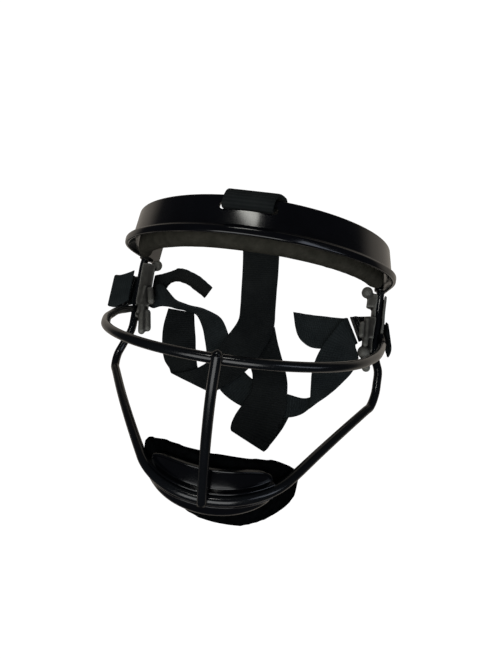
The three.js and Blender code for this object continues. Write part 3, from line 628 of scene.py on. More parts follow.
def ring_half(side):
    points = []
    for i in range(10):
        a = math.radians(RING_ARC * i / 9)
        points.append(in_plane(RING_PLANE, RING_HALF_WIDTH * math.sin(a), RING_REACH * math.cos(a)))
    points += [in_plane(RING_PLANE, x, s) for x, s in RING_LEG[side]]
    return points + [Vector(row) for row in RING_HOOK[side]]


def jaw_half(side):
    points = []
    for i in range(8):
        a = math.radians(JAW_ARC * i / 7)
        back = JAW_RADIUS * (1 - math.cos(a))
        points.append(in_plane(JAW_PLANE, JAW_RADIUS * math.sin(a), JAW_REACH - back))
    end, corner = points[-1], Vector(POST[side][0])
    for part in (0.3, 0.6, 0.9, 0.96):
        place = end.lerp(corner, part)
        place.x += JAW_BOW[side] * math.sin(math.pi * part)
        points.append(place)
    return points + [Vector(row) for row in POST[side][1:]]


def bar_points():
    top = in_plane(RING_PLANE, 0, RING_REACH)
    bottom = in_plane(JAW_PLANE, 0, JAW_REACH)
    down = (bottom - top).normalized()
    out = Vector((0, down.z, -down.y))
    points = []
    for i in range(5):
        part = i / 4
        place = (top - down * BAR_ABOVE).lerp(bottom + down * BAR_BELOW, part)
        place += out * (BAR_STANDOFF + BAR_BULGE * math.sin(math.pi * part))
        place.x = BAR_ASIDE * (1 - part) ** 4
        points.append(place)
    return points


def post_at(side, y):
    """The middle of a post where it passes a given y, with x counted outwards."""
    low, high = 0.0, 1.0
    points = [Vector(row) for row in POST[side]]
    for _ in range(24):
        part = (low + high) / 2
        if curve_point(points, part).y < y:
            low = part
        else:
            high = part
    return curve_point(points, low)


def build_cage(wire, jaw_wire, sides):
    shell = Shell()
    shell.bar(evenly(both_halves(ring_half), 220), wire / 2, sides)
    shell.bar(evenly(both_halves(jaw_half), 300), jaw_wire / 2, sides)
    bar = bar_points()
    shell.bar(evenly(bar, 60), wire / 2, sides, soft=wire / 2)
    ring_top = in_plane(RING_PLANE, 0, RING_REACH)
    jaw_front = in_plane(JAW_PLANE, 0, JAW_REACH)
    for place, middle in ((ring_top, bar[0].lerp(bar[1], 0.32)), (jaw_front, bar[-1])):
        turn = Vector((0, 0, 1)).rotation_difference((middle - place).normalized())
        weld = place.lerp(middle, 0.5)
        shell.bead(Vector((middle.x, weld.y, weld.z)), (wire * 0.52, wire * 0.52, wire * 0.5), turn)
    return new_piece("wire_cage_coated", shell, coated_wire(), "wire_cage")


# ---------------------------------------------------------------- brow band and pad


def band_stations(arc, arc_steps, leg=0.0, leg_steps=0):
    """Stations as (x, s, outward x, outward s) along the band."""
    half = []
    for i in range(arc_steps + 1):
        a = math.radians(arc * i / arc_steps)
        out = Vector((math.sin(a) / BAND_HALF_WIDTH, math.cos(a) / BAND_REACH)).normalized()
        shoulder = BAND_SHOULDER * 2 * math.sin(2 * a) * math.sin(a) ** 4
        x = BAND_HALF_WIDTH * math.sin(a) + shoulder * out.x
        half.append((x, BAND_REACH * math.cos(a) + shoulder * out.y, out.x, out.y))
    for i in range(1, leg_steps + 1):
        half.append((BAND_HALF_WIDTH, -leg * i / leg_steps, 1.0, 0.0))
    return [(-x, s, -ox, os) for x, s, ox, os in reversed(half[1:])] + half


def along_band(station, out, up):
    x, s, ox, os = station
    skew = BAND_SKEW * (1 - s / BAND_REACH)
    return in_plane(BAND_PLANE, x + out * ox + skew, s + out * os, up)


def lean_at(station, up):
    end = BAND_END_LEAN[-1 if station[2] < 0 else 1]
    lean = BAND_LEAN + (end - BAND_LEAN) * station[2] ** 2
    return -lean * max(up, 0.0) / BAND_HEIGHT


def flare_at(station):
    """How far the lip stands out: less and less towards the ends."""
    part = min(max((LIP_TAPER_REACH - station[1]) / LIP_TAPER_REACH, 0.0), 1.0)
    return LIP_FLARE - LIP_TAPER * part * part * (3 - 2 * part)


def band_outline(station):
    top = BAND_HEIGHT
    flare = flare_at(station)
    return rounded([
        (0.0, 0.0),
        (lean_at(station, top), top),
        (lean_at(station, top) - BAND_WALL, top),
        (-BAND_WALL, 0.0),
        (-BAND_WALL, -2.0),
        (flare - LIP_WALL - 1.2, -LIP_DROP + 1.6),
        (flare - LIP_WALL, -LIP_DROP),
        (flare, -LIP_DROP),
        (flare, -1.6),
        (max(flare - 2.4, 0.5), -0.5),
    ], 1.1, 4)


def stadium(half, radius, steps=10):
    out = []
    for side, start in ((1, -90), (-1, 90)):
        for k in range(steps + 1):
            a = math.radians(start + 180 * k / steps)
            out.append((side * half + radius * math.cos(a), radius * math.sin(a)))
    return out


def slot_shell():
    """What the strap's slot takes out of the band."""
    outline = stadium(SLOT_LENGTH / 2 - SLOT_HEIGHT / 2, SLOT_HEIGHT / 2)
    up = BAND_HEIGHT - SLOT_BELOW_TOP
    return Shell().sweep([
        [in_plane(BAND_PLANE, x, BAND_REACH - 4 + s, up + y) for x, y in outline] for s in (-12, 12)
    ])


def build_band():
    rings = [[along_band(station, out, up) for out, up in band_outline(station)]
             for station in band_stations(90.0, 72, BAND_LEG, 10)]
    shell = Shell().sweep(rings)
    piece = new_piece("brow_band_shell", shell, moulded_shell(), "brow_band")
    cut(piece, slot_shell())
    extra = Shell()
    for side in (-1, 1):
        posts = [post_at(side, y) for y in SOCKET_AT]
        posts.append(posts[-1].lerp(posts[-2], -0.6))
        extra.bar(evenly(on_side(side, posts), 10), SOCKET_RADIUS, 24, soft=1.0)
    join(piece, extra)
    sharpen(piece, 50)
    return piece


def join(piece, shell):
    """Adds a shell to a piece's mesh."""
    both = bmesh.new()
    both.from_mesh(piece.data)
    extra = shell.mesh("extra")
    both.from_mesh(extra)
    both.to_mesh(piece.data)
    both.free()
    bpy.data.meshes.remove(extra)
    smooth(piece.data)


def blow_up(piece, voxel, pressure):
    """Turns a closed form into a stuffed pad: remeshed, swollen as cloth, then smoothed."""
    most = PAD_SWELL / 1000
    modify(piece, "REMESH", mode="VOXEL", voxel_size=voxel)
    modify(piece, "SMOOTH", factor=0.5, iterations=10)
    before = [v.co.copy() for v in piece.data.vertices]
    cloth = piece.modifiers.new("swell", "CLOTH")
    cloth.settings.quality = 5
    cloth.settings.mass = 0.2
    cloth.settings.tension_stiffness = 12
    cloth.settings.compression_stiffness = 12
    cloth.settings.use_pressure = True
    cloth.settings.uniform_pressure_force = pressure
    cloth.settings.effector_weights.gravity = 0
    for step in range(1, 21):
        bpy.context.scene.frame_set(step)
    shown = piece.evaluated_get(bpy.context.evaluated_depsgraph_get())
    after = [v.co.copy() for v in shown.data.vertices]
    piece.modifiers.clear()
    bpy.context.scene.frame_set(1)
    for vertex, a, b in zip(piece.data.vertices, before, after):
        move = b - a
        if move.length > most:
            move *= most / move.length
        vertex.co = a + move
    modify(piece, "SMOOTH", factor=0.5, iterations=8)
    modify(piece, "SUBSURF", levels=1)


def build_brow_pad(voxel, pressure):
    high = PAD_TOP - PAD_BOTTOM - PAD_SWELL
    middle = (PAD_TOP + PAD_BOTTOM) / 2
    stations = band_stations(PAD_ARC, 48)
    last = len(stations) - 1
    rings = []
    for i, station in enumerate(stations):
        near = min(i, last - i)
        part = math.sqrt(min((near + 0.3) / 8.0, 1.0))
        inner = lean_at(station, PAD_TOP) - BAND_WALL - 1.0
        thick = (PAD_THICK - PAD_SWELL) * (0.35 + 0.65 * part)
        half = high / 2 * (0.35 + 0.65 * part)
        outline = rounded([
            (inner, middle - half), (inner, middle + half), (inner - thick, middle + half),
            (inner - thick, middle - half),
        ], 4.2, 4)
        rings.append([along_band(station, out, up) for out, up in outline])
    piece = new_piece("brow_pad_stuffed", Shell().sweep(rings), pad_cloth(), "brow_pad")
    blow_up(piece, voxel, pressure)
    return piece


# ---------------------------------------------------------------- bumpers

# Lobes on the face side of a bumper: where each starts and ends, and its radius.
LOBES = {
    -1: [
        ((87.6, 78.0, 10.2), (87.8, 83.4, 11.2), 2.0),
        ((82.0, 80.8, 9.8), (81.4, 84.4, 10.2), 4.0),
        ((85.0, 63.0, 11.6), (84.4, 39.0, 9.6), 1.9),
        ((81.4, 62.0, 11.4), (76.4, 48.0, 11.0), 2.5),
        ((83.6, 48.0, 9.8), (78.2, 23.8, 7.2), 2.6),
        ((79.2, 44.0, 8.6), (74.6, 27.0, 6.8), 2.7),
    ],
    1: [
        ((87.2, 78.0, 10.2), (87.4, 83.4, 11.2), 2.0),
        ((81.4, 82.0, 10.0), (81.8, 85.6, 10.8), 4.2),
        ((83.0, 61.6, 11.4), (82.8, 39.0, 10.2), 2.0),
        ((79.8, 58.4, 11.2), (79.8, 45.4, 10.6), 2.1),
        ((82.6, 39.4, 6.8), (82.9, 33.8, 6.0), 4.4),
        ((83.6, 34.4, 5.4), (86.2, 23.0, 3.6), 3.0),
    ],
}


def beside_post(side, start, end, steps, outline):
    """A form along a post between two y; outline pairs are inward and up from the wire."""
    rings = []
    for i in range(steps + 1):
        middle = post_at(side, start + (end - start) * i / steps)
        rings.append([
            Vector((side * (middle.x - inward), middle.y, middle.z + up)) for inward, up in outline
        ])
    return Shell().sweep(rings)


def post_bore(side, radius):
    points = on_side(side, POST[side])
    points.append(points[-1].lerp(points[-2], -0.06))
    return Shell().bar(evenly(points, 60), radius, 20, soft=0)


def branch_bore(side, radius):
    """Round the ring's leg where it meets the post."""
    leg = on_side(side, ring_half(side)[-5:])
    leg.append(leg[-1].lerp(leg[-2], -0.2))
    return Shell().bar(evenly(leg, 40), radius, 20, soft=0)


def bumper_forms(side):
    """The sleeve, its webs, the bridge over the loop strap and the lobes."""
    outer, inner, web = -SLEEVE_OUTER, SLEEVE_INNER, WEB_REACH[side]
    sleeve = rounded([
        (outer, -4.2), (outer, 4.4), (inner - 0.6, 4.4), (inner - 0.6, -4.2),
    ], 1.7, 3)
    plate = rounded([
        (-1.0, 4.2), (inner - 1.2, 4.6), (web, 3.5), (web, 0.3),
        (inner, -1.0), (inner - 1.4, -4.2), (-1.0, -4.0),
    ], 0.9, 3)
    bridge = rounded([
        (0.0, 3.0), (0.0, 7.1), (inner + 1.4, 7.1),
        (web + 1.7, 5.4), (web, 3.2), (inner + 1.4, 3.0),
    ], 0.9, 3)
    forms = [beside_post(side, SLEEVE_FROM, SLEEVE_TO, 30, sleeve)]
    forms += [beside_post(side, start, end, 20, plate) for start, end in WEBS[side]]
    forms.append(beside_post(side, LOOP_FROM - 4, WEBS[side][0][1] - 1, 20, bridge))
    for start, end, radius in LOBES[side]:
        forms.append(Shell().capsule(*on_side(side, (start, end)), radius))
    return forms


def build_bumper(side, voxel):
    name = "left_bumper" if side < 0 else "right_bumper"
    shell = Shell()
    for form in bumper_forms(side):
        shell.take(form)
    piece = new_piece(name + "_moulded", shell, soft_rubber(), name)
    modify(piece, "REMESH", mode="VOXEL", voxel_size=voxel)
    modify(piece, "SMOOTH", factor=0.5, iterations=2)
    far_out, far_in = -SLEEVE_OUTER - 4, WEB_REACH[side] + 4
    near, far = MOUTH[side]
    floor = MOUTH_FLOOR[side]
    cut(
        piece,
        beside_post(side, LOOP_FROM - LOOP_ROOM, LOOP_TO + LOOP_ROOM, 12,
                    [(far_out, -12), (far_out, UNDER_POST), (far_in, UNDER_POST), (far_in, -12)]),
        post_bore(side, JAW_WIRE / 2 + BORE_ROOM),
        beside_post(side, SLEEVE_FROM - 5, SLEEVE_TO + 5, 24,
                    [(near, floor), (near, 12), (far, 12), (far, 0), (far - 1, floor)]),
        branch_bore(side, WIRE / 2 + BRANCH_ROOM),
    )
    modify(piece, "REMESH", mode="VOXEL", voxel_size=voxel)
    modify(piece, "SMOOTH", factor=0.5, iterations=2)
    return piece


# ---------------------------------------------------------------- chin cup and pad


def on_jaw(angle, out, high):
    back = JAW_RADIUS * (1 - math.cos(angle))
    wire = in_plane(JAW_PLANE, JAW_RADIUS * math.sin(angle), JAW_REACH - back)
    outward = forward_of(CUP_TIP) * math.cos(angle) + Vector((math.sin(angle), 0, 0))
    return wire + outward * out + up_of(CUP_TIP) * high


def build_cup():
    reach = math.asin(CUP_HALF_WIDTH / JAW_RADIUS)
    rings = []
    steps = 72
    for i in range(steps + 1):
        part = 2 * i / steps - 1
        full = math.sqrt(max(1 - abs(part) ** 2.6, 0.0))
        top = 5.6 + 10.4 * full
        bottom = -6.4 - 3.9 * full
        outline = rounded([
            (-1.5, top), (-1.5, max(top - 1.2, 5.2)), (-2.4, max(top - 1.9, 5.0)), (-2.4, 4.7),
            (0.5, 4.5), (0.9, 3.7), (0.2, 3.2), (-1.7, 3.0), (-3.25, 1.4), (-3.25, -1.4),
            (-1.7, -3.0), (0.2, -3.2), (0.8, -3.8), (0.3, -4.5), (-0.5, bottom + 1.8),
            (-1.6, bottom), (-CUP_BACK, bottom), (-CUP_BACK, top),
        ], 0.6, 3)
        rings.append([on_jaw(part * reach, out, high) for out, high in outline])
    piece = new_piece("chin_cup_shell", Shell().sweep(rings), moulded_shell(), "chin_cup")
    sharpen(piece, 50)
    return piece


def build_chin_pad(voxel, pressure):
    steps = 40
    rings = []
    for i in range(steps + 1):
        part = 2 * i / steps - 1
        full = math.sqrt(max(1 - abs(part * 0.975) ** 2.4, 0.0))
        side = -1 if part < 0 else 1
        half = (CHIN_PAD_HALF_HEIGHT - PAD_SWELL / 2) * full * (1 + CHIN_PAD_TAPER[side] * part)
        thick = (CHIN_PAD_THICK - PAD_SWELL) * (0.45 + 0.55 * full)
        curl = max(abs(part) - 0.62, 0) * (9 if part < 0 else 14)
        front = -CUP_BACK - PAD_GAP - PAD_SWELL / 2 + curl
        middle = CHIN_PAD_MIDDLE - 8 * part - 8.2 * part ** 2
        outline = rounded([
            (front, middle - half), (front, middle + half),
            (front - thick, middle + half * 0.94), (front - thick, middle - half * 0.94),
        ], 3.6, 4)
        angle = math.radians(CHIN_PAD_ARC * part + CHIN_PAD_TURN)
        rings.append([on_jaw(angle, out, high) for out, high in outline])
    piece = new_piece("chin_pad_stuffed", Shell().sweep(rings), fleece(), "chin_pad")
    blow_up(piece, voxel, pressure)
    return piece


# ---------------------------------------------------------------- webbing

# The top strap's run through the band's slot and over the band: the x of its two edges, then
# the reach and the height in the band's plane.
OVER_BAND = [
    (-13.0, 14.6, 90.6, 16.0), (-13.2, 14.2, 90.9, 14.0), (-13.6, 13.4, 92.4, 10.9),
    (-13.9, 13.2, 95.4, 10.2), (-14.0, 13.2, 98.6, 10.3), (-13.8, 13.4, 99.9, 12.5),
    (-13.2, 14.0, 99.2, 16.2), (-12.2, 15.4, 96.4, 19.2), (-9.4, 18.6, 91.6, 19.4),
    (-9.0, 19.0, 84.0, 18.4), (-10.0, 18.0, 70.0, 20.0), (-12.5, 15.5, 50.0, 25.0),
]

# Straps, in rows where a line runs straight across the webbing: x, y and z of its one edge,
# then of its other edge.
TOP_STRAP = [
    (*in_plane(BAND_PLANE, a, reach, high), *in_plane(BAND_PLANE, b, reach, high))
    for a, b, reach, high in OVER_BAND
] + [
    (-14.6, 97.0, 63.0, 13.4, 97.0, 63.0), (-16.0, 102.0, 44.0, 12.0, 102.5, 44.0),
    (-16.0, 102.5, 29.0, 12.0, 103.5, 29.5), (-15.4, 97.5, 17.0, 12.6, 99.0, 17.6),
    (-14.2, 86.5, 9.0, 13.6, 89.0, 9.6), (-12.8, 73.5, 4.6, 14.3, 78.5, 4.8),
    (-11.2, 60.5, 3.2, 15.6, 63.5, 3.2), (-10.2, 47.5, 6.0, 16.8, 44.5, 4.4),
    (-16.2, 28.6, 10.2, 10.4, 21.4, 6.3), (-21.4, 16.6, 8.4, 3.6, 9.6, 6.2),
    (-26.8, 9.2, 6.6, -3.6, 1.6, 5.2), (-36.0, 3.4, 4.6, -11.4, -5.6, 4.4),
    (-46.4, -0.1, 3.6, -15.6, -8.6, 3.6), (-50.6, 0.6, 2.2, -18.4, -9.2, 2.2),
    (-52.8, 3.6, 1.0, -22.4, -5.6, 1.0), (-57.4, 8.4, 1.0, -30.8, 4.2, 1.0),
    (-61.2, 16.0, 1.0, -36.4, 18.9, 1.0), (-64.2, 26.0, 1.0, -39.2, 29.7, 1.0),
    (-66.0, 37.0, 1.0, -42.2, 39.6, 1.0), (-66.2, 51.2, 1.0, -45.2, 50.4, 1.0),
]

RIGHT_YOKE = [
    (-6.4, 50.0, 1.0, 17.4, 48.6, 1.0), (-1.0, 36.0, 1.0, 21.4, 36.6, 1.0),
    (3.0, 22.0, 1.8, 26.6, 23.8, 1.4), (5.2, 13.4, 3.7, 29.8, 15.6, 3.0),
    (8.0, 5.6, 6.0, 32.8, 5.0, 5.9), (8.6, -6.0, 6.0, 34.0, -6.0, 6.0),
    (4.6, -15.6, 5.9, 34.2, -15.8, 6.0), (0.6, -25.0, 4.9, 31.6, -27.2, 5.2),
    (-0.4, -31.2, 3.9, 26.6, -41.0, 3.9), (0.2, -32.8, 2.4, 24.8, -43.0, 2.4),
    (1.6, -28.4, 1.15, 27.6, -38.2, 1.15), (6.8, -20.6, 1.0, 34.0, -26.2, 1.0),
    (12.0, -12.6, 1.0, 37.0, -18.0, 1.0),
]

BACK_STRAP = [
    (-81.6, 50.4, 1.4, -80.4, 66.8, 3.8), (-77.6, 49.4, 1.5, -76.4, 67.2, 8.4),
    (-72.6, 51.6, 1.7, -71.2, 63.8, 13.6), (-66.4, 52.3, 2.4, -65.6, 57.8, 18.4),
    (-57.8, 51.6, 2.6, -56.2, 48.4, 22.2), (-50.0, 50.9, 2.6, -46.4, 44.6, 23.4),
    (-42.6, 49.2, 2.2, -33.4, 42.9, 24.0), (-36.0, 39.2, 1.3, -21.6, 39.9, 21.6),
    (-31.0, 26.4, 1.3, -15.0, 34.8, 7.0), (-26.6, 14.6, 1.3, -11.0, 25.0, 5.0),
    (-20.8, 3.6, 1.2, -5.0, 16.6, 3.0), (-11.6, -7.8, 1.4, 2.6, 8.4, 2.9),
    (3.2, -15.8, 3.1, 12.4, 2.6, 3.1), (20.8, -19.6, 3.2, 24.4, -0.4, 3.15),
    (36.4, -18.6, 3.2, 35.6, -2.4, 3.2), (45.0, -14.4, 1.4, 46.6, -2.4, 1.2),
    (51.4, -8.0, 1.0, 54.6, 2.6, 1.0),
]

SIDE_STRAP = [
    (49.6, -10.4, 3.3, 54.4, -5.4, 3.3), (49.6, -4.0, 3.3, 61.6, 1.6, 3.3),
    (49.0, 6.0, 2.6, 69.8, 11.6, 2.4), (48.6, 18.0, 2.6, 77.0, 22.6, 1.3),
    (50.4, 28.4, 3.2, 80.4, 31.6, 1.5), (54.0, 38.4, 4.2, 79.4, 36.6, 2.2),
    (60.2, 50.0, 5.2, 77.6, 40.4, 3.4), (66.4, 60.6, 5.4, 77.0, 42.4, 4.2),
    (69.0, 64.0, 3.3, 78.0, 43.8, 2.9), (66.8, 64.2, 1.5, 75.6, 42.6, 1.5),
    (57.0, 63.8, 1.1, 66.6, 40.0, 1.1), (46.0, 63.5, 1.0, 56.0, 37.2, 1.0),
    (38.0, 63.5, 1.0, 46.6, 36.6, 1.0), (33.2, 63.6, 1.0, 39.8, 39.6, 1.0),
    (30.4, 63.7, 1.0, 35.2, 44.6, 1.0), (29.2, 63.8, 1.0, 32.2, 52.0, 1.0),
]

LEFT_TAIL = [
    (-82.6, 64.0, 1.2, -84.0, 78.6, 1.8), (-78.6, 63.6, 1.2, -79.2, 79.4, 3.4),
    (-75.2, 63.4, 1.2, -73.0, 80.0, 6.6), (-72.4, 67.8, 1.3, -66.2, 79.4, 12.6),
    (-69.9, 74.4, 1.2, -61.2, 76.4, 19.6), (-64.6, 76.8, 1.2, -56.0, 74.0, 23.6),
    (-57.0, 75.4, 1.2, -46.6, 70.6, 24.8), (-48.6, 70.7, 1.2, -38.4, 66.0, 25.2),
    (-40.0, 65.4, 1.2, -31.0, 60.4, 25.2),
]

LEFT_LOOP = [
    (-85.6, 51.0, 1.05, -88.0, 77.0, 1.2), (-92.6, 51.0, 1.0, -94.0, 76.6, 1.1),
    (-102.0, 47.4, 1.05, -104.0, 74.4, 1.05), (-108.6, 45.4, 1.5, -111.6, 72.4, 1.6),
    (-111.0, 44.4, 4.4, -113.9, 71.2, 4.8), (-109.0, 42.6, 7.2, -112.0, 70.4, 8.2),
    (-104.4, 42.4, 8.8, -108.0, 70.0, 9.6), (-100.0, 45.0, 9.3, -103.0, 72.0, 10.4),
    (-95.6, 49.2, 8.8, -98.2, 75.6, 10.2),
]

RIGHT_LOOP = [
    (79.8, 46.8, 1.0, 71.8, 66.4, 1.0), (86.0, 50.2, 1.0, 84.0, 68.6, 1.0),
    (93.6, 51.2, 1.0, 92.0, 69.0, 1.0), (98.8, 43.0, 1.0, 95.2, 66.0, 1.0),
    (100.8, 37.6, 1.4, 96.6, 64.4, 1.5), (101.8, 41.2, 3.9, 98.4, 62.6, 4.1),
    (100.2, 47.6, 6.8, 98.0, 61.8, 7.0), (97.6, 51.8, 8.0, 97.0, 62.0, 8.4),
]

# Where the webbing section is set across its width, closer at its rounded edges.
ACROSS = [0.0, 0.006, 0.02, 0.045, 0.1, 0.22, 0.36, 0.5, 0.64, 0.78, 0.9, 0.955, 0.98, 0.994, 1.0]


def strap_shell(rows, steps, ripple):
    """Webbing through the rows, with rounded edges and small soft waves near them."""
    a_side = [Vector(row[:3]) for row in rows]
    b_side = [Vector(row[3:]) for row in rows]
    middle = [a.lerp(b, 0.5) for a, b in zip(a_side, b_side)]
    rings, across = [], None
    nearby = 0.002
    for i in range(steps + 1):
        part = i / steps
        a, b = curve_point(a_side, part), curve_point(b_side, part)
        ahead = curve_point(middle, min(part + nearby, 1.0))
        behind = curve_point(middle, max(part - nearby, 0.0))
        normal = (ahead - behind).cross(b - a).normalized()
        width = (b - a).length
        top, under = [], []
        for u in ACROSS:
            edge = min(u, 1 - u) * width
            round_off = math.sqrt(max(1 - (1 - min(edge / WEB_EDGE, 1.0)) ** 2, 0.0))
            wave = ripple * math.sin(part * 61 + u * 5) * math.sin(part * 23 + 1.3) * abs(2 * u - 1)
            here = a.lerp(b, u) + normal * wave
            top.append(here + normal * (WEB_THICK / 2 * round_off))
            under.append(here - normal * (WEB_THICK / 2 * round_off))
        rings.append(top + list(reversed(under[1:-1])))
        if across is None:
            across = [u * width for u in ACROSS] + [u * width for u in reversed(ACROSS[1:-1])]
    return Shell().sweep(rings, across=across)


def build_straps(steps, ripple):
    elastic = webbing("elastic_webbing", (0.0062, 0.0078, 0.0082), (0.0160, 0.0182, 0.0182))
    faded = webbing("faded_webbing", (0.0100, 0.0134, 0.0146), (0.0230, 0.0280, 0.0290))
    darker = webbing("dark_webbing", (0.0030, 0.0042, 0.0048), (0.0080, 0.0098, 0.0104))
    for name, node, rows, share, material, wave in (
        ("top_strap_webbing", "top_strap", TOP_STRAP, 1, elastic, ripple),
        ("right_yoke_webbing", "right_yoke_strap", RIGHT_YOKE, 2, elastic, ripple),
        ("back_strap_webbing", "back_strap", BACK_STRAP, 2, faded, ripple),
        ("right_side_webbing", "right_side_strap", SIDE_STRAP, 2, faded, ripple),
        ("left_tail_webbing", "left_strap_tail", LEFT_TAIL, 4, elastic, ripple),
        ("left_loop_webbing", "left_loop_strap", LEFT_LOOP, 2, faded, 0.0),
        ("right_loop_webbing", "right_loop_strap", RIGHT_LOOP, 2, darker, 0.0),
    ):
        new_piece(name, strap_shell(rows, steps // share, wave), material, node)


# ---------------------------------------------------------------- sliders

# Each slider's side, length, width, thickness, place, and its turn and tilt in degrees.
SLIDERS = (
    ("left", 29, 9.6, 2.2, (-100.8, 58.6, 5.2), 3, -12),
    ("right", 17, 6.0, 1.8, (78.0, 58.0, 3.9), 24, 10),
)


def build_slider(name, node, length, width, thick, place, turn, tilt):
    """A flat slider: a rounded frame with a middle bar."""
    shell = Shell()
    half_x, half_y = width / 2 - SLIDER_RIM, length / 2 - 1.1
    corners = [(-half_x, -half_y), (half_x, -half_y), (half_x, half_y), (-half_x, half_y)]
    ring = [Vector((x, y, 0)) for x, y in rounded(corners, 1.6, 5)]
    spin = Quaternion((0, 0, 1), math.radians(turn)) @ Quaternion((0, 1, 0), math.radians(tilt))
    rings = []
    up = thick / 2
    section = rounded([
        (-SLIDER_RIM, -up), (SLIDER_RIM, -up), (SLIDER_RIM, up), (-SLIDER_RIM, up),
    ], 0.6, 3)
    count = len(ring)
    for i, p in enumerate(ring):
        tangent = (ring[(i + 1) % count] - ring[i - 1]).normalized()
        out = Vector((tangent.y, -tangent.x, 0))
        rings.append([spin @ (p + out * o + Vector((0, 0, u))) + Vector(place) for o, u in section])
    shell.sweep(rings, closed=True)
    bar = [Vector((0, y * half_y, 0)) for y in (-1.0, -0.5, 0.0, 0.5, 1.0)]
    shell.bar([spin @ p + Vector(place) for p in bar], 0.8, 14, soft=0)
    return new_piece(name, shell, hard_slider(), node)


# ---------------------------------------------------------------- stage


def build_surroundings(room, bounce):
    """A dim room above and the warm light that a table throws back from below."""
    world = bpy.data.worlds.new("studio")
    world.use_nodes = True
    tree = world.node_tree
    where = tree.nodes.new("ShaderNodeTexCoord")
    split = tree.nodes.new("ShaderNodeSeparateXYZ")
    tree.links.new(where.outputs["Generated"], split.inputs["Vector"])
    shade = tree.nodes.new("ShaderNodeValToRGB")
    ahead = tree.nodes.new("ShaderNodeMath")
    ahead.operation = "MULTIPLY_ADD"
    ahead.inputs[1].default_value = -0.6
    tree.links.new(split.outputs["Y"], ahead.inputs[0])
    tree.links.new(split.outputs["Z"], ahead.inputs[2])
    height = tree.nodes.new("ShaderNodeMapRange")
    height.inputs["From Min"].default_value = -1.0
    tree.links.new(ahead.outputs[0], height.inputs["Value"])
    tree.links.new(height.outputs["Result"], shade.inputs["Fac"])
    low, high = shade.color_ramp.elements
    low.position, high.position = 0.20, 0.32
    low.color = (bounce, bounce * 0.91, bounce * 0.80, 1.0)
    high.color = (room, room, room * 1.1, 1.0)
    tree.links.new(shade.outputs["Color"], tree.nodes["Background"].inputs["Color"])
    bpy.context.scene.world = world


def build_stage(distance, key, room, bounce):
    floor = bpy.data.meshes.new("floor")
    corners = [(x * PAPER_HALF, y * PAPER_HALF, 0) for x, y in ((-1, -1), (1, -1), (1, 1), (-1, 1))]
    floor.from_pydata(corners, [], [(0, 1, 2, 3)])
    plane = bpy.data.objects.new("floor", floor)
    bpy.context.collection.objects.link(plane)
    paper = Finish("white_paper", Roughness=1.0, Specular_IOR_Level=0.0, Emission_Strength=1.0)
    paper.shader.inputs["Base Color"].default_value = (0.1, 0.1, 0.1, 1.0)
    paper.shader.inputs["Emission Color"].default_value = (1.0, 1.0, 1.0, 1.0)
    floor.materials.append(paper.material)
    plane.visible_glossy = False
    plane.visible_diffuse = False
    plane.visible_shadow = False
    build_surroundings(room, bounce)
    bpy.context.scene.view_settings.view_transform = "Standard"

    for name, place, sizes, share, tint in LAMPS:
        light = bpy.data.lights.new(name, "AREA")
        light.color = tint
        light.shape = "RECTANGLE"
        light.size, light.size_y = sizes
        light.energy = key * share
        lamp = bpy.data.objects.new(name, light)
        lamp.location = place
        lamp.rotation_euler = (-Vector(place)).to_track_quat("-Z", "Y").to_euler()
        bpy.context.collection.objects.link(lamp)

    data = bpy.data.cameras.new("camera")
    data.sensor_width = 36.0
    data.lens = CAMERA_LENS
    data.clip_start = 0.01
    camera = bpy.data.objects.new("camera", data)
    look = Vector(CAMERA_LOOK).normalized()
    right = Vector(CAMERA_RIGHT)
    right = (right - look * right.dot(look)).normalized()
    up = right.cross(look)
    turn = Matrix((right, up, -look)).transposed()
    camera.location = Vector(CAMERA_PLACE) - look * distance
    camera.rotation_euler = turn.to_euler()
    bpy.context.collection.objects.link(camera)
    bpy.context.scene.camera = camera


# ---------------------------------------------------------------- the add-on


class MaskSettings(bpy.types.PropertyGroup):
    """Sizes and strengths that the steps work with."""

    wire: FloatProperty(
        name="Wire", description="Diameter of the ring's and the bar's wire",
        default=0.005, unit="LENGTH")
    jaw_wire: FloatProperty(
        name="Jaw wire", description="Diameter of the jaw wire and the posts",
        default=0.0057, unit="LENGTH")
    wire_sides: IntProperty(
        name="Wire sides", description="Flats round each wire",
        default=24, min=8)
    strap_steps: IntProperty(
        name="Strap steps", description="Rows along the longest strap",
        default=360, min=60)
    ripple: FloatProperty(
        name="Strap ripple", description="Height of the small waves in the straps",
        default=0.0002, unit="LENGTH")
    brow_voxel: FloatProperty(
        name="Brow pad grid", description="Grid that the brow pad is remeshed on",
        default=0.002, unit="LENGTH")
    chin_voxel: FloatProperty(
        name="Chin pad grid", description="Grid that the chin pad is remeshed on",
        default=0.002, unit="LENGTH")
    pressure: FloatProperty(
        name="Pad pressure", description="Pressure that fills the pads",
        default=4.0)
    bumper_voxel: FloatProperty(
        name="Bumper grid", description="Grid that the bumpers are remeshed on",
        default=0.00055, unit="LENGTH")
    key: FloatProperty(
        name="Key light", description="Power of the studio lights",
        default=12.0, unit="POWER")
    room: FloatProperty(
        name="Room light", description="Strength of the light from above and round about",
        default=0.03)
    bounce: FloatProperty(
        name="Table light", description="Strength of the light thrown back by the table",
        default=0.36)
    step_back: FloatProperty(
        name="Step back", description="How far the camera stands back from its place",
        default=0.0, unit="LENGTH")


class StepMixin:
    """What every step has in common: it runs on the scene's settings."""

    bl_options = {"REGISTER", "UNDO"}

    def execute(self, context):
        self.build(context.scene.mask_settings)
        return {"FINISHED"}


class MASK_OT_cage(StepMixin, bpy.types.Operator):
    """Build the coated wire cage"""
    bl_idname = "mask.add_cage"
    bl_label = "Wire cage"

    def build(self, settings):
        build_cage(settings.wire * 1000, settings.jaw_wire * 1000, settings.wire_sides)


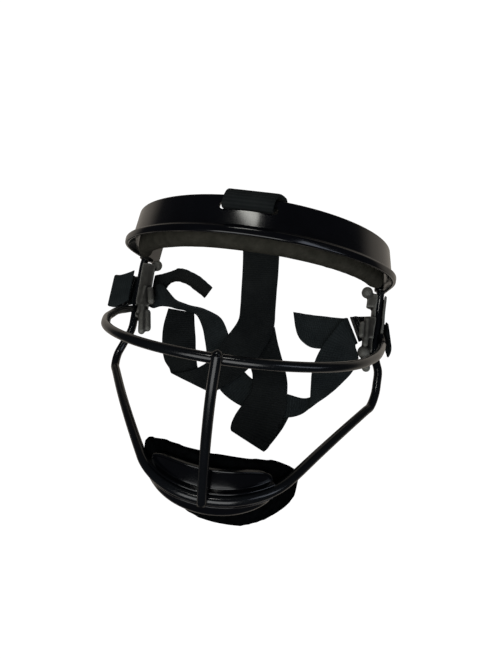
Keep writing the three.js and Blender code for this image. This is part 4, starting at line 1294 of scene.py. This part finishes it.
class MASK_OT_band(StepMixin, bpy.types.Operator):
    """Build the moulded brow band"""
    bl_idname = "mask.add_band"
    bl_label = "Brow band"

    def build(self, settings):
        build_band()


class MASK_OT_pads(StepMixin, bpy.types.Operator):
    """Build and fill the brow pad and the chin pad"""
    bl_idname = "mask.add_pads"
    bl_label = "Pads"

    def build(self, settings):
        build_brow_pad(settings.brow_voxel, settings.pressure)
        build_chin_pad(settings.chin_voxel, settings.pressure)


class MASK_OT_bumpers(StepMixin, bpy.types.Operator):
    """Build the two rubber bumpers"""
    bl_idname = "mask.add_bumpers"
    bl_label = "Bumpers"

    def build(self, settings):
        for side in (-1, 1):
            build_bumper(side, settings.bumper_voxel)


class MASK_OT_cup(StepMixin, bpy.types.Operator):
    """Build the moulded chin cup"""
    bl_idname = "mask.add_cup"
    bl_label = "Chin cup"

    def build(self, settings):
        build_cup()


class MASK_OT_straps(StepMixin, bpy.types.Operator):
    """Build the straps and the loops round the posts"""
    bl_idname = "mask.add_straps"
    bl_label = "Straps"

    def build(self, settings):
        build_straps(settings.strap_steps, settings.ripple * 1000)


class MASK_OT_sliders(StepMixin, bpy.types.Operator):
    """Build the two strap sliders"""
    bl_idname = "mask.add_sliders"
    bl_label = "Sliders"

    def build(self, settings):
        for side, *sizes in SLIDERS:
            build_slider(side + "_slider_moulded", side + "_slider", *sizes)


class MASK_OT_stage(StepMixin, bpy.types.Operator):
    """Set up the floor, the lights and the camera"""
    bl_idname = "mask.add_stage"
    bl_label = "Stage"

    def build(self, settings):
        build_stage(settings.step_back, settings.key, settings.room, settings.bounce)


STEPS = (
    MASK_OT_cage, MASK_OT_band, MASK_OT_pads, MASK_OT_bumpers, MASK_OT_cup, MASK_OT_straps,
    MASK_OT_sliders, MASK_OT_stage,
)


class MASK_PT_panel(bpy.types.Panel):
    """Lists the steps in the 3D view's sidebar"""
    bl_idname = "MASK_PT_panel"
    bl_label = "Fielders mask"
    bl_space_type = "VIEW_3D"
    bl_region_type = "UI"
    bl_category = "Mask"

    def draw(self, context):
        for key in MaskSettings.__annotations__:
            self.layout.prop(context.scene.mask_settings, key)
        for step in STEPS:
            self.layout.operator(step.bl_idname)


def register():
    bpy.utils.register_class(MaskSettings)
    bpy.types.Scene.mask_settings = PointerProperty(type=MaskSettings)
    for step in STEPS:
        bpy.utils.register_class(step)
    bpy.utils.register_class(MASK_PT_panel)


def unregister():
    bpy.utils.unregister_class(MASK_PT_panel)
    for step in reversed(STEPS):
        bpy.utils.unregister_class(step)
    del bpy.types.Scene.mask_settings
    bpy.utils.unregister_class(MaskSettings)


def main():
    register()
    bpy.ops.mask.add_cage()
    bpy.ops.mask.add_band()
    bpy.ops.mask.add_pads()
    bpy.ops.mask.add_bumpers()
    bpy.ops.mask.add_cup()
    bpy.ops.mask.add_straps()
    bpy.ops.mask.add_sliders()
    bpy.ops.mask.add_stage()


if __name__ == "__main__":
    main()
